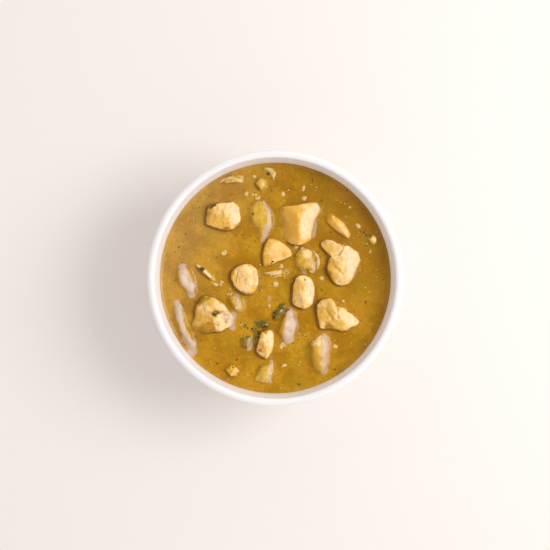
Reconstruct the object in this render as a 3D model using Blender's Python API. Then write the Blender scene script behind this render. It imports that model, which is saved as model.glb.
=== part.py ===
"""Bowl of green chicken chili: a round porcelain soup bowl on a foot ring, filled with thick
gravy to 10 mm below its rim, with chunks of chicken, potato, onion and green chile that lie
in the gravy's surface.

The origin is on the bowl's axis at the bottom of its foot ring, and +Z is up. The bowl and the
gravy are turned solids. Each chunk has a crest, a rim of corners round its top face and a body
that tapers below the surface, and the gravy is cut round every chunk with a small gap.
"""

import math
from collections import namedtuple

import bmesh
import bpy
from mathutils import Vector

MM = 0.001

# Bowl, in millimetres
BOWL_HEIGHT = 62.0
RIM_RADIUS = 72.5
INNER_RIM_RADIUS = 68.0
FLOOR_HEIGHT = 7.0
WALL_ROOT = 0.0
FOOT_OUTER_RADIUS = 36.0
FOOT_INNER_RADIUS = 31.0
FOOT_HEIGHT = 5.0
FOOT_EDGE = 0.8
RECESS_HEIGHT = 3.5
FLARE_REACH = 14.0
FLARE_POWER = 1.8
FULLNESS = 3.0
WALL_STEPS = 6
LIP_STEPS = 4
LIP_RUN = 2.0
TURN_STEPS = 56
SHARP_ANGLE = math.radians(35)
MERGE_DISTANCE = 1e-6

# Contents, in millimetres
GRAVY_LEVEL = 52.0
GAP = 0.3
POCKET_GAP = 1.25 * GAP
GRAVY_STEPS = 5
RIM_ROUNDING = 1.1
EDGE_BULGE = 0.05

# Rings of a chunk, from its crest outward and down: share of the way out to its rim, and share
# of its depth below the rim.
TOP_RINGS = (0.5, 0.9)
SUNK_TOP_RINGS = (0.6,)
SIDE_RINGS = ((0.99, 0.5), (0.66, 1.0))

Chunk = namedtuple("Chunk", "name food crest rim depth dome")

# Chunks that stand out of the gravy. Crests and rim corners are (x, y, height over the gravy),
# anticlockwise round the rim. dome is 1 for flat facets and 2 for a rounded top.
RAISED_CHUNKS = [
    Chunk("chicken_cube", "chicken", (-30.0, 35.5, 4.2), [
        (-20.2, 30.2, 2.8), (-20.6, 40.3, 3.0), (-23.6, 43.6, 3.2), (-37.4, 42.0, 3.0),
        (-39.5, 36.2, 2.8), (-39.0, 30.6, 2.6), (-26.8, 27.3, 3.0)], 10.0, 1.8),
    Chunk("potato_block", "potato", (14.6, 33.0, 4.5), [
        (20.6, 21.8, 1.8), (22.8, 33.6, 1.7), (26.3, 38.4, 1.8), (23.2, 43.5, 2.6),
        (11.3, 41.6, 3.0), (2.3, 40.2, 2.4), (1.8, 30.0, 2.2), (4.6, 22.2, 2.4),
        (13.0, 18.6, 3.9)], 12.0, 1.0),
    Chunk("potato_wedge", "potato", (1.6, 14.6, 4.4), [
        (1.4, 9.4, 2.7), (9.4, 12.6, 3.4), (8.6, 16.2, 3.4), (0.6, 22.2, 3.0),
        (-4.0, 22.8, 2.6), (-7.2, 14.6, 1.6), (-6.8, 5.8, 1.5)], 10.0, 1.0),
    Chunk("chicken_lobed", "chicken", (38.6, 9.0, 4.5), [
        (40.9, -4.0, 2.6), (45.0, 0.6, 2.4), (47.9, 9.2, 2.2), (47.0, 15.0, 2.4),
        (41.6, 18.7, 3.0), (35.6, 20.0, 3.4), (30.0, 22.2, 3.2), (25.9, 20.8, 2.8),
        (27.2, 16.6, 2.6), (31.8, 13.0, 2.4), (29.6, 6.6, 2.6), (31.2, 0.4, 2.4),
        (35.6, -3.6, 2.6)], 11.0, 1.7),
    Chunk("chicken_folded", "chicken", (-17.4, 0.0, 4.3), [
        (-16.8, -9.5, 2.8), (-11.6, -7.8, 2.4), (-9.2, -3.0, 2.2), (-10.0, 4.4, 2.4),
        (-14.4, 8.7, 2.8), (-19.6, 7.2, 3.0), (-24.8, 4.2, 2.6), (-25.2, -0.8, 2.6),
        (-22.3, -5.6, 2.8)], 10.0, 1.8),
    Chunk("chicken_barrel", "chicken", (16.0, -8.0, 4.4), [
        (21.6, -15.0, 2.6), (22.8, -5.0, 2.4), (20.0, 0.3, 2.8), (15.6, 2.0, 3.2),
        (11.6, 0.2, 3.2), (10.0, -8.5, 3.2), (9.9, -14.8, 3.0), (16.2, -18.0, 3.2)],
        11.0, 1.7),
    Chunk("chicken_winged", "chicken", (31.8, -19.8, 4.5), [
        (33.9, -29.2, 2.6), (41.0, -30.0, 1.8), (46.2, -26.6, 2.6), (47.6, -23.6, 3.0),
        (40.9, -18.6, 3.2), (35.9, -15.6, 3.0), (32.4, -11.6, 3.4), (27.0, -12.2, 3.2),
        (23.8, -15.8, 2.8), (24.4, -22.3, 2.8), (26.2, -28.4, 2.6)], 10.0, 1.5),
    Chunk("chicken_fibrous", "chicken", (-35.0, -20.6, 4.5), [
        (-31.2, -30.2, 3.0), (-24.4, -26.8, 2.2), (-22.8, -23.2, 1.8), (-26.4, -18.2, 2.6),
        (-31.2, -13.4, 3.2), (-38.0, -10.6, 3.0), (-42.4, -11.8, 2.6), (-45.8, -20.3, 2.2),
        (-47.8, -29.0, 1.8), (-40.8, -31.2, 2.6)], 12.0, 1.6),
    Chunk("chicken_tapered", "chicken", (-5.2, -37.0, 4.2), [
        (-5.0, -46.4, 2.4), (-2.0, -42.8, 2.8), (-0.4, -35.2, 2.6), (-1.9, -29.8, 3.0),
        (-7.9, -30.4, 3.0), (-9.6, -36.4, 2.6), (-10.9, -41.8, 2.4)], 9.0, 1.5),
]

# Chunks that the gravy coats, so that only a low crown shows.
COATED_CHUNKS = [
    Chunk("onion_bud", "onion", (-8.6, 53.4, 2.2), [
        (-8.0, 49.4, 1.0), (-4.8, 52.6, 1.2), (-5.2, 57.2, 1.2), (-8.6, 58.0, 1.0),
        (-11.9, 54.6, 0.8)], 6.0, 1.8),
    Chunk("onion_petal", "onion", (-3.8, 60.6, -0.2), [
        (-3.2, 57.2, 0.6), (-0.6, 57.4, 2.2), (0.4, 60.2, 2.4), (-2.2, 63.0, 2.4),
        (-6.8, 62.9, 1.9), (-7.0, 60.2, 0.6)], 4.0, 2.0),
    Chunk("onion_strip", "onion", (-24.4, 56.0, 2.0), [
        (-24.4, 54.2, 1.0), (-18.4, 53.9, 1.2), (-18.0, 56.4, 1.2), (-22.4, 58.6, 1.3),
        (-27.0, 58.0, 1.2), (-31.0, 55.0, 0.8), (-30.6, 53.6, 0.8)], 4.0, 1.8),
    Chunk("coated_chunk_top", "coated", (-8.2, 35.0, 3.0), [
        (-2.2, 29.0, 1.6), (-2.0, 35.5, 1.6), (-4.2, 41.4, 1.5), (-8.6, 44.9, 1.2),
        (-13.4, 43.6, 0.9), (-16.0, 38.6, 0.7), (-14.2, 31.0, 0.9), (-9.8, 26.4, 1.2),
        (-9.0, 19.8, 0.9), (-6.6, 22.6, 1.4)], 9.0, 1.9),
    Chunk("coated_chunk_mid", "coated", (17.4, 10.4, 3.0), [
        (21.0, 3.4, 1.4), (23.8, 6.0, 1.4), (22.8, 14.0, 1.4), (17.6, 18.0, 1.2),
        (13.0, 15.9, 1.4), (10.6, 10.2, 1.1), (11.4, 5.6, 1.1)], 9.0, 1.7),
    Chunk("potato_sliver", "potato", (35.2, 30.6, 2.6), [
        (33.2, 27.8, 1.0), (42.0, 21.9, 1.2), (43.4, 25.0, 1.2), (39.6, 31.8, 1.4),
        (31.4, 37.6, 1.4), (28.5, 36.4, 1.1), (28.4, 32.8, 0.9)], 8.0, 1.5),
    Chunk("potato_bit", "potato", (55.9, 21.6, 2.2), [
        (56.0, 18.2, 0.9), (58.5, 20.4, 1.0), (58.1, 24.0, 1.0), (55.4, 25.0, 0.9),
        (53.3, 21.9, 0.8)], 5.0, 1.8),
    Chunk("coated_chunk_left", "coated", (-51.6, -0.6, 2.7), [
        (-47.4, -11.2, 1.2), (-44.8, -7.0, 1.2), (-48.4, 4.6, 1.3), (-52.3, 7.9, 1.1),
        (-57.4, 4.4, 0.8), (-54.4, -4.8, 0.9)], 8.0, 1.9),
    Chunk("chicken_shred", "chicken", (-40.0, 3.0, 2.3), [
        (-34.4, -2.8, 1.1), (-34.0, -0.2, 1.1), (-38.4, 3.6, 1.3), (-44.6, 8.8, 1.2),
        (-46.6, 8.2, 1.1), (-42.4, 3.4, 1.2)], 3.0, 1.6),
    Chunk("coated_strip_left", "coated", (-52.2, -26.2, 2.7), [
        (-50.4, -37.8, 1.2), (-46.2, -42.4, 1.2), (-45.4, -36.6, 1.3), (-48.4, -32.6, 1.4),
        (-52.0, -25.0, 1.4), (-54.2, -15.4, 1.2), (-57.2, -12.4, 1.0), (-58.2, -18.0, 0.9),
        (-56.4, -27.0, 1.0)], 6.0, 1.9),
    Chunk("coated_chunk_low", "coated", (8.2, -27.0, 3.1), [
        (6.4, -38.0, 1.1), (12.8, -31.0, 1.4), (10.6, -19.8, 1.5), (7.4, -15.6, 1.4),
        (5.9, -19.6, 1.6), (3.2, -26.0, 1.6), (0.8, -31.6, 1.2)], 9.0, 1.8),
    Chunk("chile_skin", "chile", (2.4, -20.0, 2.9), [
        (2.0, -24.8, 1.4), (4.6, -19.4, 1.9), (5.4, -16.4, 1.6), (3.0, -15.6, 1.2),
        (-0.6, -19.6, 1.1), (-1.4, -24.4, 1.0)], 3.0, 1.6),
    Chunk("chile_bit", "chile", (-5.8, -26.6, 2.4), [
        (-3.6, -28.0, 1.3), (-2.8, -26.4, 1.3), (-5.4, -24.6, 1.1), (-9.2, -26.6, 1.0),
        (-8.2, -28.5, 1.2)], 3.0, 1.6),
    Chunk("chile_square", "chile", (-16.4, -36.8, 2.4), [
        (-15.6, -41.4, 1.0), (-13.0, -36.4, 1.3), (-14.4, -32.8, 1.2), (-19.4, -33.6, 0.9),
        (-20.2, -39.0, 0.8)], 4.0, 1.7),
    Chunk("coated_strip_right", "coated", (25.8, -43.6, 3.0), [
        (26.4, -56.6, 1.2), (30.0, -50.0, 1.4), (30.9, -37.4, 1.5), (29.3, -31.8, 1.4),
        (25.6, -31.6, 1.4), (21.2, -36.2, 1.2), (20.0, -45.0, 0.9), (21.8, -54.2, 0.9)],
        8.0, 1.9),
    Chunk("onion_slab", "onion", (-5.4, -54.4, 2.4), [
        (-4.6, -61.0, 1.1), (-1.4, -55.0, 1.5), (-0.9, -48.3, 1.4), (-3.8, -48.8, 1.4),
        (-9.2, -50.4, 0.9), (-13.2, -59.4, 0.7)], 4.0, 1.5),
    Chunk("potato_corner", "potato", (-24.6, -53.2, 2.4), [
        (-25.8, -57.0, 0.9), (-20.9, -56.4, 1.1), (-20.2, -52.6, 1.2), (-25.4, -49.5, 1.0),
        (-29.4, -52.2, 0.8)], 6.0, 1.7),
    Chunk("coated_strip_mid", "coated", (0.4, 3.0, 2.2), [
        (0.2, 0.8, 0.9), (8.4, 2.8, 0.9), (7.2, 5.4, 1.0), (-1.0, 5.0, 1.0),
        (-6.4, 3.6, 0.8), (-7.2, 1.4, 0.8)], 4.0, 1.8),
    Chunk("coated_chunk_small", "coated", (-22.2, -13.4, 2.5), [
        (-20.6, -20.6, 0.9), (-18.0, -17.8, 1.1), (-19.0, -12.4, 1.2), (-23.9, -8.9, 1.1),
        (-27.6, -11.0, 1.0), (-24.6, -16.8, 1.0)], 6.0, 1.8),
]

# Linear base colour, roughness
FINISHES = {
    "porcelain": ((0.88, 0.88, 0.90), 0.12),
    "gravy": ((0.479, 0.250, 0.012), 0.25),
    "chicken": ((0.871, 0.610, 0.262), 0.45),
    "potato": ((0.831, 0.515, 0.102), 0.35),
    "onion": ((0.753, 0.546, 0.156), 0.30),
    "chile": ((0.102, 0.091, 0.013), 0.35),
    "coated": ((0.610, 0.352, 0.032), 0.25),
}


def clear_scene():
    """Remove every object of the open scene."""
    for obj in list(bpy.data.objects):
        bpy.data.objects.remove(obj, do_unlink=True)


def make_material(name):
    """A Principled material with one finish's colour and roughness."""
    colour, roughness = FINISHES[name]
    material = bpy.data.materials.new(name)
    material.use_nodes = True
    shader = material.node_tree.nodes["Principled BSDF"]
    shader.inputs["Base Color"].default_value = (*colour, 1.0)
    shader.inputs["Roughness"].default_value = roughness
    shader.inputs["Metallic"].default_value = 0.0
    return material


def add_object(name, mesh_data, material):
    """Turn a bmesh into a named, smoothly shaded object of the scene."""
    mesh = bpy.data.meshes.new(name)
    mesh_data.to_mesh(mesh)
    mesh_data.free()
    mesh.shade_smooth()
    mesh.set_sharp_from_angle(angle=SHARP_ANGLE)
    mesh.materials.append(material)
    obj = bpy.data.objects.new(name, mesh)
    bpy.context.scene.collection.objects.link(obj)
    return obj


def flared_radius(z, top_radius, root):
    """Radius of a flared wall at height z: full near its root, and still opening at the rim."""
    def fill(height):
        fall = (BOWL_HEIGHT + FLARE_REACH - height) / (BOWL_HEIGHT + FLARE_REACH - root)
        return (1.0 - fall**FLARE_POWER) ** (1.0 / FULLNESS)

    return top_radius * fill(z) / fill(BOWL_HEIGHT)


def inner_radius(z):
    """Radius of the bowl's inner wall at height z."""
    return flared_radius(z, INNER_RIM_RADIUS, FLOOR_HEIGHT)


def outer_radius(z):
    """Radius of the bowl's outer wall at height z."""
    return flared_radius(z, RIM_RADIUS, WALL_ROOT)


def wall_heights(low, high, steps):
    """Heights up a wall, closer together at its rounded root."""
    return [low + (high - low) * (i / steps) ** 2 for i in range(1, steps + 1)]


def lip_points():
    """Half circle over the rim, from the inner wall to the outer wall."""
    half = (RIM_RADIUS - INNER_RIM_RADIUS) / 2
    middle = RIM_RADIUS - half
    centre = BOWL_HEIGHT - half
    angles = [math.pi * i / LIP_STEPS for i in range(LIP_STEPS + 1)]
    return [(middle - half * math.cos(a), centre + half * math.sin(a)) for a in angles]


def bowl_profile():
    """Half section of the bowl: floor, inner wall, lip, outer wall, foot ring and recess."""
    lip = lip_points()
    wall_top = lip[0][1] - LIP_RUN
    inside = [(inner_radius(z), z) for z in wall_heights(FLOOR_HEIGHT, wall_top, WALL_STEPS)]
    outside = [(outer_radius(z), z) for z in wall_heights(FOOT_HEIGHT, wall_top, WALL_STEPS)]
    foot = [
        (FOOT_OUTER_RADIUS, FOOT_HEIGHT),
        (FOOT_OUTER_RADIUS, FOOT_EDGE),
        (FOOT_OUTER_RADIUS - FOOT_EDGE, 0.0),
        (FOOT_INNER_RADIUS + FOOT_EDGE, 0.0),
        (FOOT_INNER_RADIUS, FOOT_EDGE),
        (FOOT_INNER_RADIUS - FOOT_EDGE, RECESS_HEIGHT),
        (0.0, RECESS_HEIGHT),
    ]
    return [(0.0, FLOOR_HEIGHT)] + inside + lip + outside[::-1] + foot


def gravy_profile():
    """Half section of the gravy, a gap inside the bowl's inner wall, up to its level."""
    low = FLOOR_HEIGHT + GAP
    heights = wall_heights(low, GRAVY_LEVEL, GRAVY_STEPS)
    side = [(inner_radius(z - GAP) - GAP, z) for z in heights]
    return [(0.0, low)] + side + [(0.0, GRAVY_LEVEL)]


def turned(profile):
    """Spin a half section, given as (radius, height) points, once round the Z axis."""
    body = bmesh.new()
    points = [body.verts.new((r * MM, 0.0, z * MM)) for r, z in profile]
    edges = [body.edges.new(pair) for pair in zip(points, points[1:])]
    bmesh.ops.spin(
        body,
        geom=points + edges,
        cent=(0.0, 0.0, 0.0),
        axis=(0.0, 0.0, 1.0),
        angle=math.tau,
        steps=TURN_STEPS,
        use_merge=True,
    )
    bmesh.ops.remove_doubles(body, verts=body.verts, dist=MERGE_DISTANCE)
    bmesh.ops.dissolve_degenerate(body, edges=body.edges, dist=MERGE_DISTANCE)
    bmesh.ops.recalc_face_normals(body, faces=body.faces)
    return body


def rim_spokes(chunk):
    """Rim points of a chunk: its corners, with a point bulged outward between each two."""
    spokes = []
    crest = Vector(chunk.crest[:2])
    corners = chunk.rim
    for here, there in zip(corners, corners[1:] + corners[:1]):
        spokes.append(here)
        middle = (Vector(here) + Vector(there)) / 2
        outward = middle.xy + (middle.xy - crest) * EDGE_BULGE
        spokes.append((outward.x, outward.y, middle.z))
    return spokes


def chunk_rings(chunk, top_rings):
    """Rings of points from the crest out to the rim, over it and down the tapering sides."""
    cx, cy, crest_height = chunk.crest
    spokes = rim_spokes(chunk)
    rings = []
    for share in top_rings:
        fall = share**chunk.dome
        rings.append([
            (cx + share * (x - cx), cy + share * (y - cy), crest_height + fall * (h - crest_height))
            for x, y, h in spokes
        ])
    rings.append([(x, y, h - RIM_ROUNDING) for x, y, h in spokes])
    for share, down in SIDE_RINGS:
        rings.append([
            (cx + share * (x - cx), cy + share * (y - cy), h - RIM_ROUNDING - down * chunk.depth)
            for x, y, h in spokes
        ])
    return rings


def chunk_body(chunk, top_rings):
    """Closed body of a chunk: its rings bridged in turn, and fanned to a point at each end."""
    body = bmesh.new()
    cx, cy, crest_height = chunk.crest

    def vertex(x, y, height):
        return body.verts.new((x * MM, y * MM, (GRAVY_LEVEL + height) * MM))

    rings = [[vertex(*point) for point in ring] for ring in chunk_rings(chunk, top_rings)]
    bottom_height = min(v.co.z for v in rings[-1]) / MM - GRAVY_LEVEL
    crest = vertex(cx, cy, crest_height)
    bottom = vertex(cx, cy, bottom_height)
    count = len(rings[0])
    for i in range(count):
        j = (i + 1) % count
        body.faces.new((crest, rings[0][i], rings[0][j]))
        body.faces.new((bottom, rings[-1][j], rings[-1][i]))
        for upper, lower in zip(rings, rings[1:]):
            body.faces.new((upper[i], lower[i], lower[j], upper[j]))
    bmesh.ops.triangulate(body, faces=body.faces)
    bmesh.ops.recalc_face_normals(body, faces=body.faces)
    return body


def pocket_bodies(chunks):
    """The chunks again in one mesh, each grown by the gap: what is cut out of the gravy."""
    pockets = bmesh.new()
    for chunk in chunks:
        body = chunk_body(chunk, SUNK_TOP_RINGS)
        body.normal_update()
        grown = [(v, v.co + v.normal * POCKET_GAP * MM) for v in body.verts]
        for v, place in grown:
            v.co = place
        mesh = bpy.data.meshes.new("pocket")
        body.to_mesh(mesh)
        body.free()
        pockets.from_mesh(mesh)
        bpy.data.meshes.remove(mesh)
    return pockets


def make_gravy(materials):
    """The gravy, turned to the bowl's inside and cut round every chunk."""
    gravy = add_object("gravy", turned(gravy_profile()), materials["gravy"])
    pockets = pocket_bodies(RAISED_CHUNKS + COATED_CHUNKS)
    cutter = add_object("gravy_pockets", pockets, materials["gravy"])
    cutter.hide_render = True
    cutter.display_type = "WIRE"
    cut = gravy.modifiers.new("pockets", "BOOLEAN")
    cut.operation = "DIFFERENCE"
    cut.solver = "EXACT"
    cut.object = cutter
    return gravy


def make_bowl_of_chili():
    """Build the bowl, the gravy and every chunk."""
    clear_scene()
    materials = {name: make_material(name) for name in FINISHES}
    add_object("bowl", turned(bowl_profile()), materials["porcelain"])
    make_gravy(materials)
    for chunk in RAISED_CHUNKS:
        add_object(chunk.name, chunk_body(chunk, TOP_RINGS), materials[chunk.food])
    for chunk in COATED_CHUNKS:
        add_object(chunk.name, chunk_body(chunk, SUNK_TOP_RINGS), materials[chunk.food])


make_bowl_of_chili()
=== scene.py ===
import math

import bpy
import numpy as np
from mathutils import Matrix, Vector


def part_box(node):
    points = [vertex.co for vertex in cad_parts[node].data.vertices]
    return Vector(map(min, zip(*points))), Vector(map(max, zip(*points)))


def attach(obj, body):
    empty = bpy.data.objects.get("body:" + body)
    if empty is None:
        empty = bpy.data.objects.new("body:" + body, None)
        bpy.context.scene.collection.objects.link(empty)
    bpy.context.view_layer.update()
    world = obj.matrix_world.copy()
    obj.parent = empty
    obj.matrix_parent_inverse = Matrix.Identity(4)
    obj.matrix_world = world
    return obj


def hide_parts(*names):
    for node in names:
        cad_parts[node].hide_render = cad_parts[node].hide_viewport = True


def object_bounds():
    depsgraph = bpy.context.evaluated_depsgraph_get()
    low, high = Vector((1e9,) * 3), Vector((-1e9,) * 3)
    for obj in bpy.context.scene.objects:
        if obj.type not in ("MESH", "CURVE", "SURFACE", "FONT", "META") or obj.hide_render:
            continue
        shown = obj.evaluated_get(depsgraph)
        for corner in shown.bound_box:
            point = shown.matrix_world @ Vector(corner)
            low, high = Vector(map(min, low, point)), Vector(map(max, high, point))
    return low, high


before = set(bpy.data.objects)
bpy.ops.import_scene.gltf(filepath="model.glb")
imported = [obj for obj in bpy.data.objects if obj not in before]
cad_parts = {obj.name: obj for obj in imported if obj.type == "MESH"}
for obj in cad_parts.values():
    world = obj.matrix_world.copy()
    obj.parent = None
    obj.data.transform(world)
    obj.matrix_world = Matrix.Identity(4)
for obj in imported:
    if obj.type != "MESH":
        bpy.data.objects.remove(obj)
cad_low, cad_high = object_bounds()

# Looks of a bowl of green chicken chili. Every surface is worked out in metres round the packed
# solids: the bowl is turned from its section, each chunk is drawn from its own solid, and the
# gravy is one skin that rises round the chunks and against the wall.

MM = 0.001

# Bowl section, in metres
BOWL_HEIGHT = cad_high.z
RIM_RADIUS = cad_high.x
INNER_RIM_RADIUS = 68.0 * MM
FOOT_OUTER_RADIUS = 36.0 * MM
FOOT_INNER_RADIUS = 31.0 * MM
FOOT_HEIGHT = 5.0 * MM
FOOT_EDGE = 0.8 * MM
RECESS_HEIGHT = 3.5 * MM
BOWL_AROUND = 288
LIP_RUN = 2.0 * MM
FILLET_DROP = 0.2 * MM
WALL_START = 1.0 * MM
FLOOR_LIFT = 0.02 * MM
INSIDE_STEPS, LIP_STEPS, OUTSIDE_STEPS, EDGE_STEPS = 70, 21, 60, 6
FLARE_REACH = 14.0 * MM
FLARE_POWER = 1.8
FULLNESS = 3.0
GRAVY_GAP = 0.3 * MM
FLOOR_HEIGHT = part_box("gravy")[0].z - GRAVY_GAP
GRAVY_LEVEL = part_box("gravy")[1].z

# Gravy skin
SKIN_CELLS = 270
MAP_CELL = 0.45 * MM
MAP_SIDE = 312
MENISCUS_HEIGHT = 1.2 * MM
MENISCUS_REACH = 1.3 * MM
WALL_OVERLAP = 0.15 * MM
SHADE_SHIFT = 1.2 * MM
# Degrees within which the painted reflection of the window is full, and beyond which it is gone
GLARE_FULL, GLARE_NONE = 9, 15

# Where the window stands: degrees from +X towards +Y, and degrees over the floor
WINDOW_SIDE = 12
WINDOW_HEIGHT = 46

# Chunk skins
AROUND = 160
DOWN = 96

# Linear colours
PORCELAIN = (0.87, 0.845, 0.85)
BARE_CLAY = (0.80, 0.76, 0.70)
FILM = (0.78, 0.60, 0.34)
GRAVY_GOLD = (0.56, 0.282, 0.011)
GRAVY_DEEP = (0.39, 0.175, 0.001)
GRAVY_OLIVE = (0.39, 0.235, 0.005)
GRAVY_ORANGE = (0.66, 0.28, 0.007)
GRAVY_PALE = (0.74, 0.43, 0.050)
GRAVY_SHADE = (0.24, 0.10, 0.001)
COAT_YELLOW = (0.76, 0.46, 0.055)
# Painted reflection of the window on wet faces
PAINTED_GLARE = (0.64, 0.48, 0.37)
# Painted light on the gravy's upper left
PAINTED_LIGHT_TINT = (0.80, 0.65, 0.45)
# Painted highlight on chunks where they lean towards the window
PAINTED_HIGHLIGHT = (0.86, 0.63, 0.43)
PEPPER = (0.05, 0.028, 0.008)
CHICKEN_PALE = (0.98, 0.69, 0.33)
CHICKEN_WARM = (0.90, 0.53, 0.13)
CHICKEN_STAIN = (0.76, 0.41, 0.04)
# Painted shade on chicken
CHICKEN_SHADE = (0.50, 0.255, 0.028)
POTATO_PALE = (0.98, 0.66, 0.27)
POTATO_WARM = (0.86, 0.45, 0.05)
# Painted shade on potatoes
POTATO_SHADE = (0.60, 0.28, 0.015)
ONION_PALE = (0.78, 0.54, 0.17)
ONION_WARM = (0.60, 0.36, 0.035)
CHILE_SKIN = (0.10, 0.085, 0.010)
CHILE_FLESH = (0.30, 0.26, 0.035)
FLECK = (0.10, 0.068, 0.014)
HERB = (0.15, 0.105, 0.014)
HERB_LIGHT = (0.27, 0.18, 0.02)
CHILI_RED = (0.46, 0.045, 0.015)
CHILI_ORANGE = (0.60, 0.13, 0.02)
PEPPER_LIGHT = (0.09, 0.05, 0.015)
FLAKE_DARK, FLAKE_LIGHT = (0.10, 0.08, 0.012), (0.20, 0.14, 0.018)
CRUMB_PALE, CRUMB_WARM = (0.76, 0.52, 0.25), (0.68, 0.43, 0.13)
PULP_PALE, PULP_WARM = (0.68, 0.45, 0.07), (0.58, 0.33, 0.02)
STRAND_PALE, STRAND_WARM = (0.74, 0.56, 0.33), (0.68, 0.44, 0.13)


# ---------------------------------------------------------------- shapes as arrays

def lattice_noise(points, cell, seed):
    """Smooth noise from -1 to 1: random values on a cubic lattice, blended between the eight
    corners round each point with weights that ease in and out, 3t^2 - 2t^3."""
    side = 32
    values = np.random.default_rng(seed).uniform(-1.0, 1.0, (side, side, side))
    place = np.asarray(points) / cell
    base = np.floor(place).astype(int)
    ease = place - base
    ease = ease * ease * (3.0 - 2.0 * ease)
    total = np.zeros(place.shape[:-1])
    for step in np.ndindex(2, 2, 2):
        corner = (base + step) % side
        weight = np.where(step, ease, 1.0 - ease).prod(-1)
        total += weight * values[corner[..., 0], corner[..., 1], corner[..., 2]]
    return total


def layered_noise(points, cell, seed, layers=3):
    """Sum of lattice noises: from layer to layer the cell and the height halve."""
    total = np.zeros(np.shape(points)[:-1])
    for layer in range(layers):
        total += lattice_noise(points, cell / 2**layer, seed + layer) / 2**layer
    return total


def eased(value, low, high):
    """0 below low, 1 above high, and a smooth step 3t^2 - 2t^3 between them."""
    t = np.clip((value - low) / (high - low), 0.0, 1.0)
    return t * t * (3.0 - 2.0 * t)


def add_piece(name, points, faces, material, attributes=None):
    """Make a mesh object from point and face arrays, shade it smooth and let it ride."""
    mesh = bpy.data.meshes.new(name)
    mesh.from_pydata(np.asarray(points, float).reshape(-1, 3).tolist(), [], faces)
    mesh.shade_smooth()
    for key, values in (attributes or {}).items():
        layer = mesh.attributes.new(key, "FLOAT", "POINT")
        layer.data.foreach_set("value", np.asarray(values, np.float32).ravel())
    mesh.materials.append(material)
    piece = bpy.data.objects.new(name, mesh)
    bpy.context.scene.collection.objects.link(piece)
    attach(piece, "root")
    return piece


def stand_in(piece, node):
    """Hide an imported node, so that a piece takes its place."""
    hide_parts(node)


def strip_faces(rows, columns):
    """Quads between neighbouring rows of a grid whose rows close on themselves."""
    row, column = np.meshgrid(np.arange(rows - 1), np.arange(columns), indexing="ij")
    here = row * columns + column
    beside = row * columns + (column + 1) % columns
    quads = np.stack([here, here + columns, beside + columns, beside], -1)
    return quads.reshape(-1, 4).tolist()


def fan_faces(pole, ring, outward_up):
    """Triangles from a pole to a closed ring of point numbers."""
    ahead = np.roll(ring, -1)
    order = (ring, ahead) if outward_up else (ahead, ring)
    return np.stack([np.full(len(ring), pole), *order], -1).tolist()


def closed_grid(grid, top, bottom):
    """Points and faces of rings stacked from a top pole to a bottom pole."""
    rows, columns = grid.shape[:2]
    points = np.concatenate([grid.reshape(-1, 3), [top], [bottom]])
    faces = strip_faces(rows, columns)
    faces += fan_faces(rows * columns, np.arange(columns), True)
    faces += fan_faces(rows * columns + 1, (rows - 1) * columns + np.arange(columns), False)
    return points, faces


def turned_rings(section, around):
    """Carry a section of (radius, height) points round the Z axis in equal steps."""
    angle = np.linspace(0.0, math.tau, around, endpoint=False)
    radius, height = section[:, :1], section[:, 1:]
    rings = [radius * np.cos(angle), radius * np.sin(angle), height + 0.0 * angle]
    return np.stack(rings, -1)


# ---------------------------------------------------------------- bowl

def flared_radius(z, top_radius, root):
    """Radius of a flared wall at height z: full near its root, and still opening at the rim."""
    def fill(height):
        fall = (BOWL_HEIGHT + FLARE_REACH - height) / (BOWL_HEIGHT + FLARE_REACH - root)
        return (1.0 - fall**FLARE_POWER) ** (1.0 / FULLNESS)

    return top_radius * fill(z) / fill(BOWL_HEIGHT)


def inner_radius(z):
    return flared_radius(z, INNER_RIM_RADIUS, FLOOR_HEIGHT)


def outer_radius(z):
    return flared_radius(z, RIM_RADIUS, 0.0)


def arc(centre, radius, start, end, steps):
    """Points on a circle about (radius, height) centre, from one angle to another in degrees."""
    angle = np.radians(np.linspace(start, end, steps))
    return np.stack([centre[0] + radius * np.cos(angle), centre[1] + radius * np.sin(angle)], -1)


def wall_section(radius_at, low, high, steps):
    """A wall's (radius, height) points, closer together at its rounded root."""
    z = low + (high - low) * np.linspace(0.0, 1.0, steps) ** 2
    return np.stack([radius_at(z), z], -1)


def bowl_section():
    """The bowl's section from its floor over the lip, down the outside and under the foot."""
    half = (RIM_RADIUS - INNER_RIM_RADIUS) / 2
    lip_height = BOWL_HEIGHT - half
    wall_top = lip_height - LIP_RUN
    inside = wall_section(inner_radius, FLOOR_HEIGHT + FLOOR_LIFT, wall_top, INSIDE_STEPS)
    lip = arc((RIM_RADIUS - half, lip_height), half, 180, 0, LIP_STEPS)
    outside = wall_section(outer_radius, FOOT_HEIGHT + WALL_START, wall_top, OUTSIDE_STEPS)[::-1]
    edge, steps = FOOT_EDGE, EDGE_STEPS
    fillet = arc((FOOT_OUTER_RADIUS + edge, FOOT_HEIGHT - FILLET_DROP), edge, 110, 180, steps)
    foot = np.concatenate([
        arc((FOOT_OUTER_RADIUS - edge, edge), edge, 0, -90, steps),
        arc((FOOT_INNER_RADIUS + edge, edge), edge, -90, -180, steps),
        arc((FOOT_INNER_RADIUS - edge, RECESS_HEIGHT - edge), edge, 0, 90, steps),
    ])
    return np.concatenate([inside, lip, outside, fillet, foot])


def make_bowl(material):
    """The bowl, turned from its section and closed at both poles. The mask is 1 from the floor up
    to the top of the lip, and 0 on the outside and under the foot."""
    section = bowl_section()
    rings = turned_rings(section, BOWL_AROUND)
    points, faces = closed_grid(rings, (0, 0, FLOOR_HEIGHT), (0, 0, RECESS_HEIGHT))
    faces = [face[::-1] for face in faces]
    inner = np.arange(len(section)) < section[:, 1].argmax()
    masks = {"inner": np.append(np.repeat(inner, BOWL_AROUND), [1.0, 0.0])}
    stand_in(add_piece("soup_bowl", points, faces, material, masks), "bowl")


# ---------------------------------------------------------------- chunks

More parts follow.
